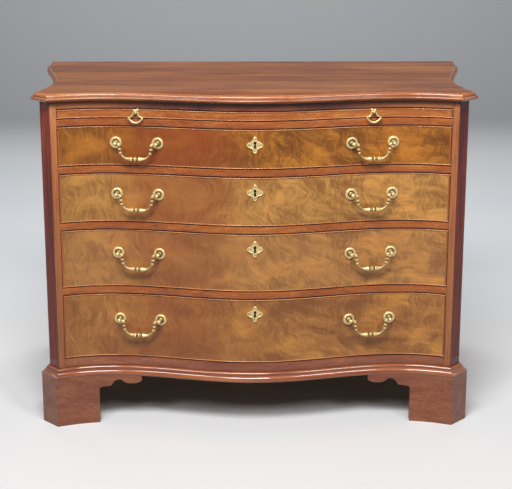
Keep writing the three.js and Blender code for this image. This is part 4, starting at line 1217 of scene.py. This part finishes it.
# The petals' rows, as a share of their reach and a height in millimetres, and the stem's turned profile.
boss_rows = [(1.0, -0.2), (1.0, 0.9), (0.82, 1.7), (0.55, 2.1)]
boss_stem = [(2.4, 1.2, 0.6), (1.9, 3.2, 0.6), (1.9, 4.4, 0.4), (2.7, 5.0, 0), (3.6, 6.4, 0), (3.8, 8, 0),
             (3.5, 9.6, 0), (2.5, 11.0, 0), (1.2, 11.7, 0), (0.1, 11.8, 0)]
boss_standoff = 0.008
petal_turns = [2 * math.pi * k / (petals * petal_steps) for k in range(petals * petal_steps)]
petal_reach = [petal_root + petal_length * abs(math.cos(petals / 2 * (t - math.pi / 4))) ** petal_curve
               for t in petal_turns]
petal_rows = [[(r * share * math.cos(t) / 1000, r * share * math.sin(t) / 1000, up / 1000)
               for r, t in zip(petal_reach, petal_turns)] for share, up in boss_rows]
boss = joined([solid(petal_rows, crease=30), lathe(in_metres(boss_stem), 24)])
for name in ("left", "right"):
    pivot, chord = hung(f"slide_pull_{name}_swing")
    out = Vector((chord.y, -chord.x, 0))
    made = set_at([tuple(pivot - out * boss_standoff)], [tuple(out)], boss, brass, crease=30)
    piece(f"slide_boss_cast_{name}", made, brass, "slide", [f"slide_boss_{name}"])
    piece(f"slide_drop_{name}", bar(pull_path, pull_turning, pivot, chord, 16), brass, f"slide_pull_{name}",
          [f"slide_pull_{name}"])

# Photographer's sweep, lights and camera. A pale paper floor rises to a wall behind the chest, painted
# greyer and darker far off as falloff of light, and its outer parts at the sides and in front glow as a
# painted pale haze. A soft light hangs overhead, one stands on each side and one lights the wall, with a
# little light from all round.
floor_front, wall_y, wall_bend, wall_high, half_width = -5.6, 5.6, 1.6, 5.0, 7.0
sweep_line = [(floor_front, 0.0), (wall_y - wall_bend, 0.0),
              *bend((wall_y - wall_bend, wall_bend), (wall_bend, wall_bend), -90, 0, 16)[1:],
              (wall_y, wall_high)]
sweep_mesh = bpy.data.meshes.new("work")
sweep_mesh.from_pydata([(x, y, z) for x in (-half_width, half_width) for y, z in sweep_line], [],
                       [(k, k + 1, len(sweep_line) + k + 1, len(sweep_line) + k)
                        for k in range(len(sweep_line) - 1)])
# The paper's tone at distances behind the chest's middle, partly its own and partly painted falloff of
# light, darker far in front and high up the wall. A metre up the wall counts as 1.6 of them.
paper_tones_and_falloff = ((-4.5, "#6a6a6c"), (-1.4, "#9a9a9c"), (-0.8, "#dadada"), (0.4, "#e8e8e9"), (0.9, "#dcdee0"),
                (1.4, "#cfd2d5"), (2.1, "#c3c6c9"), (2.6, "#c2c5c8"), (3.1, "#c4c5c7"), (3.6, "#bcbec0"),
                (4.2, "#a9abae"), (5.2, "#adafb2"), (7.0, "#babcbe"), (8.6, "#58595b"), (11.0, "#2c2d2f"))
rise_counts = 1.6
unseen_tone = "#646464"  # the paper is this much darker for the light that it gives back
# Tones of the painted glow of the outer paper, near and far, and where it starts.
glow_near_tone, glow_far_tone, glow_reach = "#e9e9ea", "#a3a8ae", (1.2, 5.5)
glow_sides, glow_front = (2.0, 3.2), (-0.75, -1.4)
sky_tone, sky_seen, sky_given = "#dfe6ee", 0.5, 0.08


def seen_rays(tree):
    """One for rays that look at the backdrop, straight or in polish and glass, and zero for its light."""
    rays = add(tree, "ShaderNodeLightPath").outputs
    seen = add(tree, "ShaderNodeMath", {0: rays["Is Camera Ray"], 1: rays["Is Glossy Ray"]},
               operation="ADD", use_clamp=True)
    return add(tree, "ShaderNodeMath", {0: seen, 1: rays["Is Transmission Ray"]}, operation="ADD",
               use_clamp=True)


paper, tree = new_material("paper_sweep_matt")
place = add(tree, "ShaderNodeTexCoord").outputs["Object"]
parts = add(tree, "ShaderNodeSeparateXYZ", {0: place}).outputs
back = add(tree, "ShaderNodeMath", {0: parts["Z"], 1: rise_counts, 2: parts["Y"]}, operation="MULTIPLY_ADD")
nearest, farthest = paper_tones_and_falloff[0][0], paper_tones_and_falloff[-1][0]
far = add(tree, "ShaderNodeMapRange", {"Value": back, "From Min": nearest, "From Max": farthest})
shades = add(tree, "ShaderNodeValToRGB", {"Fac": far},
             stops=[((v - nearest) / (farthest - nearest), shade_of) for v, shade_of in paper_tones_and_falloff])
looked_at = seen_rays(tree)
unseen = add(tree, "ShaderNodeMath", {0: 1.0, 1: looked_at}, operation="SUBTRACT")
shades = add(tree, "ShaderNodeMixRGB", {"Fac": unseen, "Color1": shades, "Color2": linear(unseen_tone)},
             blend_type="MULTIPLY")
fleck = add(tree, "ShaderNodeTexNoise", {"Vector": place, "Scale": 1 / 0.004, "Detail": 2.0})
bump = add(tree, "ShaderNodeBump", {"Height": fleck, "Strength": 0.04, "Distance": 0.0005})
skin = add(tree, "ShaderNodeBsdfPrincipled", {"Base Color": shades, "Roughness": 0.85, "Normal": bump})
aside = add(tree, "ShaderNodeMath", {0: parts["X"]}, operation="ABSOLUTE")
away = add(tree, "ShaderNodeVectorMath", {0: place}, operation="LENGTH").outputs["Value"]
aside, before, away = [
    add(tree, "ShaderNodeMapRange", {"Value": value, "From Min": least, "From Max": most})
    for value, (least, most) in ((aside, glow_sides), (parts["Y"], glow_front), (away, glow_reach))]
outer = add(tree, "ShaderNodeMath", {0: aside, 1: before}, operation="MAXIMUM")
outer = add(tree, "ShaderNodeMath", {0: outer, 1: looked_at}, operation="MULTIPLY")
# Painted glow: the outer paper shines pale where rays look at it, paler near and greyer far.
painted_glow = add(tree, "ShaderNodeMixRGB", {
    "Fac": away, "Color1": linear(glow_near_tone), "Color2": linear(glow_far_tone)})
painted_glow = add(tree, "ShaderNodeEmission", {"Color": painted_glow})
skin = add(tree, "ShaderNodeMixShader", {0: outer, 1: skin, 2: painted_glow})
add(tree, "ShaderNodeOutputMaterial", {"Surface": skin})
sweep_mesh.materials.append(paper)
sweep = bpy.data.objects.new("paper_sweep", shade(sweep_mesh))
bpy.context.scene.collection.objects.link(sweep)

world = bpy.data.worlds.new("studio")
bpy.context.scene.world = world
world.use_nodes = True
world.node_tree.nodes.clear()
strength = add(world.node_tree, "ShaderNodeMapRange", {
    "Value": seen_rays(world.node_tree), "To Min": sky_given, "To Max": sky_seen})
sky = add(world.node_tree, "ShaderNodeBackground", {"Color": linear(sky_tone), "Strength": strength})
add(world.node_tree, "ShaderNodeOutputWorld", {"Surface": sky})


def soft_light(name, place, target, size, power):
    """A wide lamp at a place, turned to a target."""
    lamp = bpy.data.lights.new(name, "AREA")
    lamp.shape, lamp.size, lamp.size_y, lamp.energy = "RECTANGLE", size[0], size[1], power
    made = bpy.data.objects.new(name, lamp)
    bpy.context.scene.collection.objects.link(made)
    made.location = place
    made.rotation_euler = (Vector(target) - Vector(place)).to_track_quat("-Z", "Y").to_euler()


soft_light("overhead", place=(-0.2, -2.1, 2.8), target=(0, -0.1, 0.5), size=(1.3, 0.7), power=90)
soft_light("front_left", place=(-1.95, -3.1, 2.9), target=(0, 0, 0.4), size=(0.9, 0.9), power=45)
soft_light("front_right", place=(1.95, -3.0, 2.9), target=(0, 0, 0.4), size=(0.9, 0.9), power=49)
soft_light("background", place=(0.0, 1.85, 2.9), target=(0, 3.7, 0), size=(4.0, 1.0), power=100)

# The camera's place, turn and lens are fitted to the joints and corners that the photo shows.
view_width = 512
focal_pixels = 1250.8
pitch, yaw = math.radians(13.46), math.radians(0.67)
camera_data = bpy.data.cameras.new("camera")
camera_data.sensor_width = 36.0
camera_data.lens = focal_pixels / view_width * camera_data.sensor_width
camera_data.shift_y = -0.1
camera = bpy.data.objects.new("camera", camera_data)
bpy.context.scene.collection.objects.link(camera)
camera.location = (-0.0321, -3.25, 1.3163)
looking = Vector((math.sin(yaw) * math.cos(pitch), math.cos(yaw) * math.cos(pitch), -math.sin(pitch)))
camera.rotation_euler = looking.to_track_quat("-Z", "Y").to_euler()
bpy.context.scene.camera = camera
bpy.context.scene.view_settings.view_transform = "Standard"
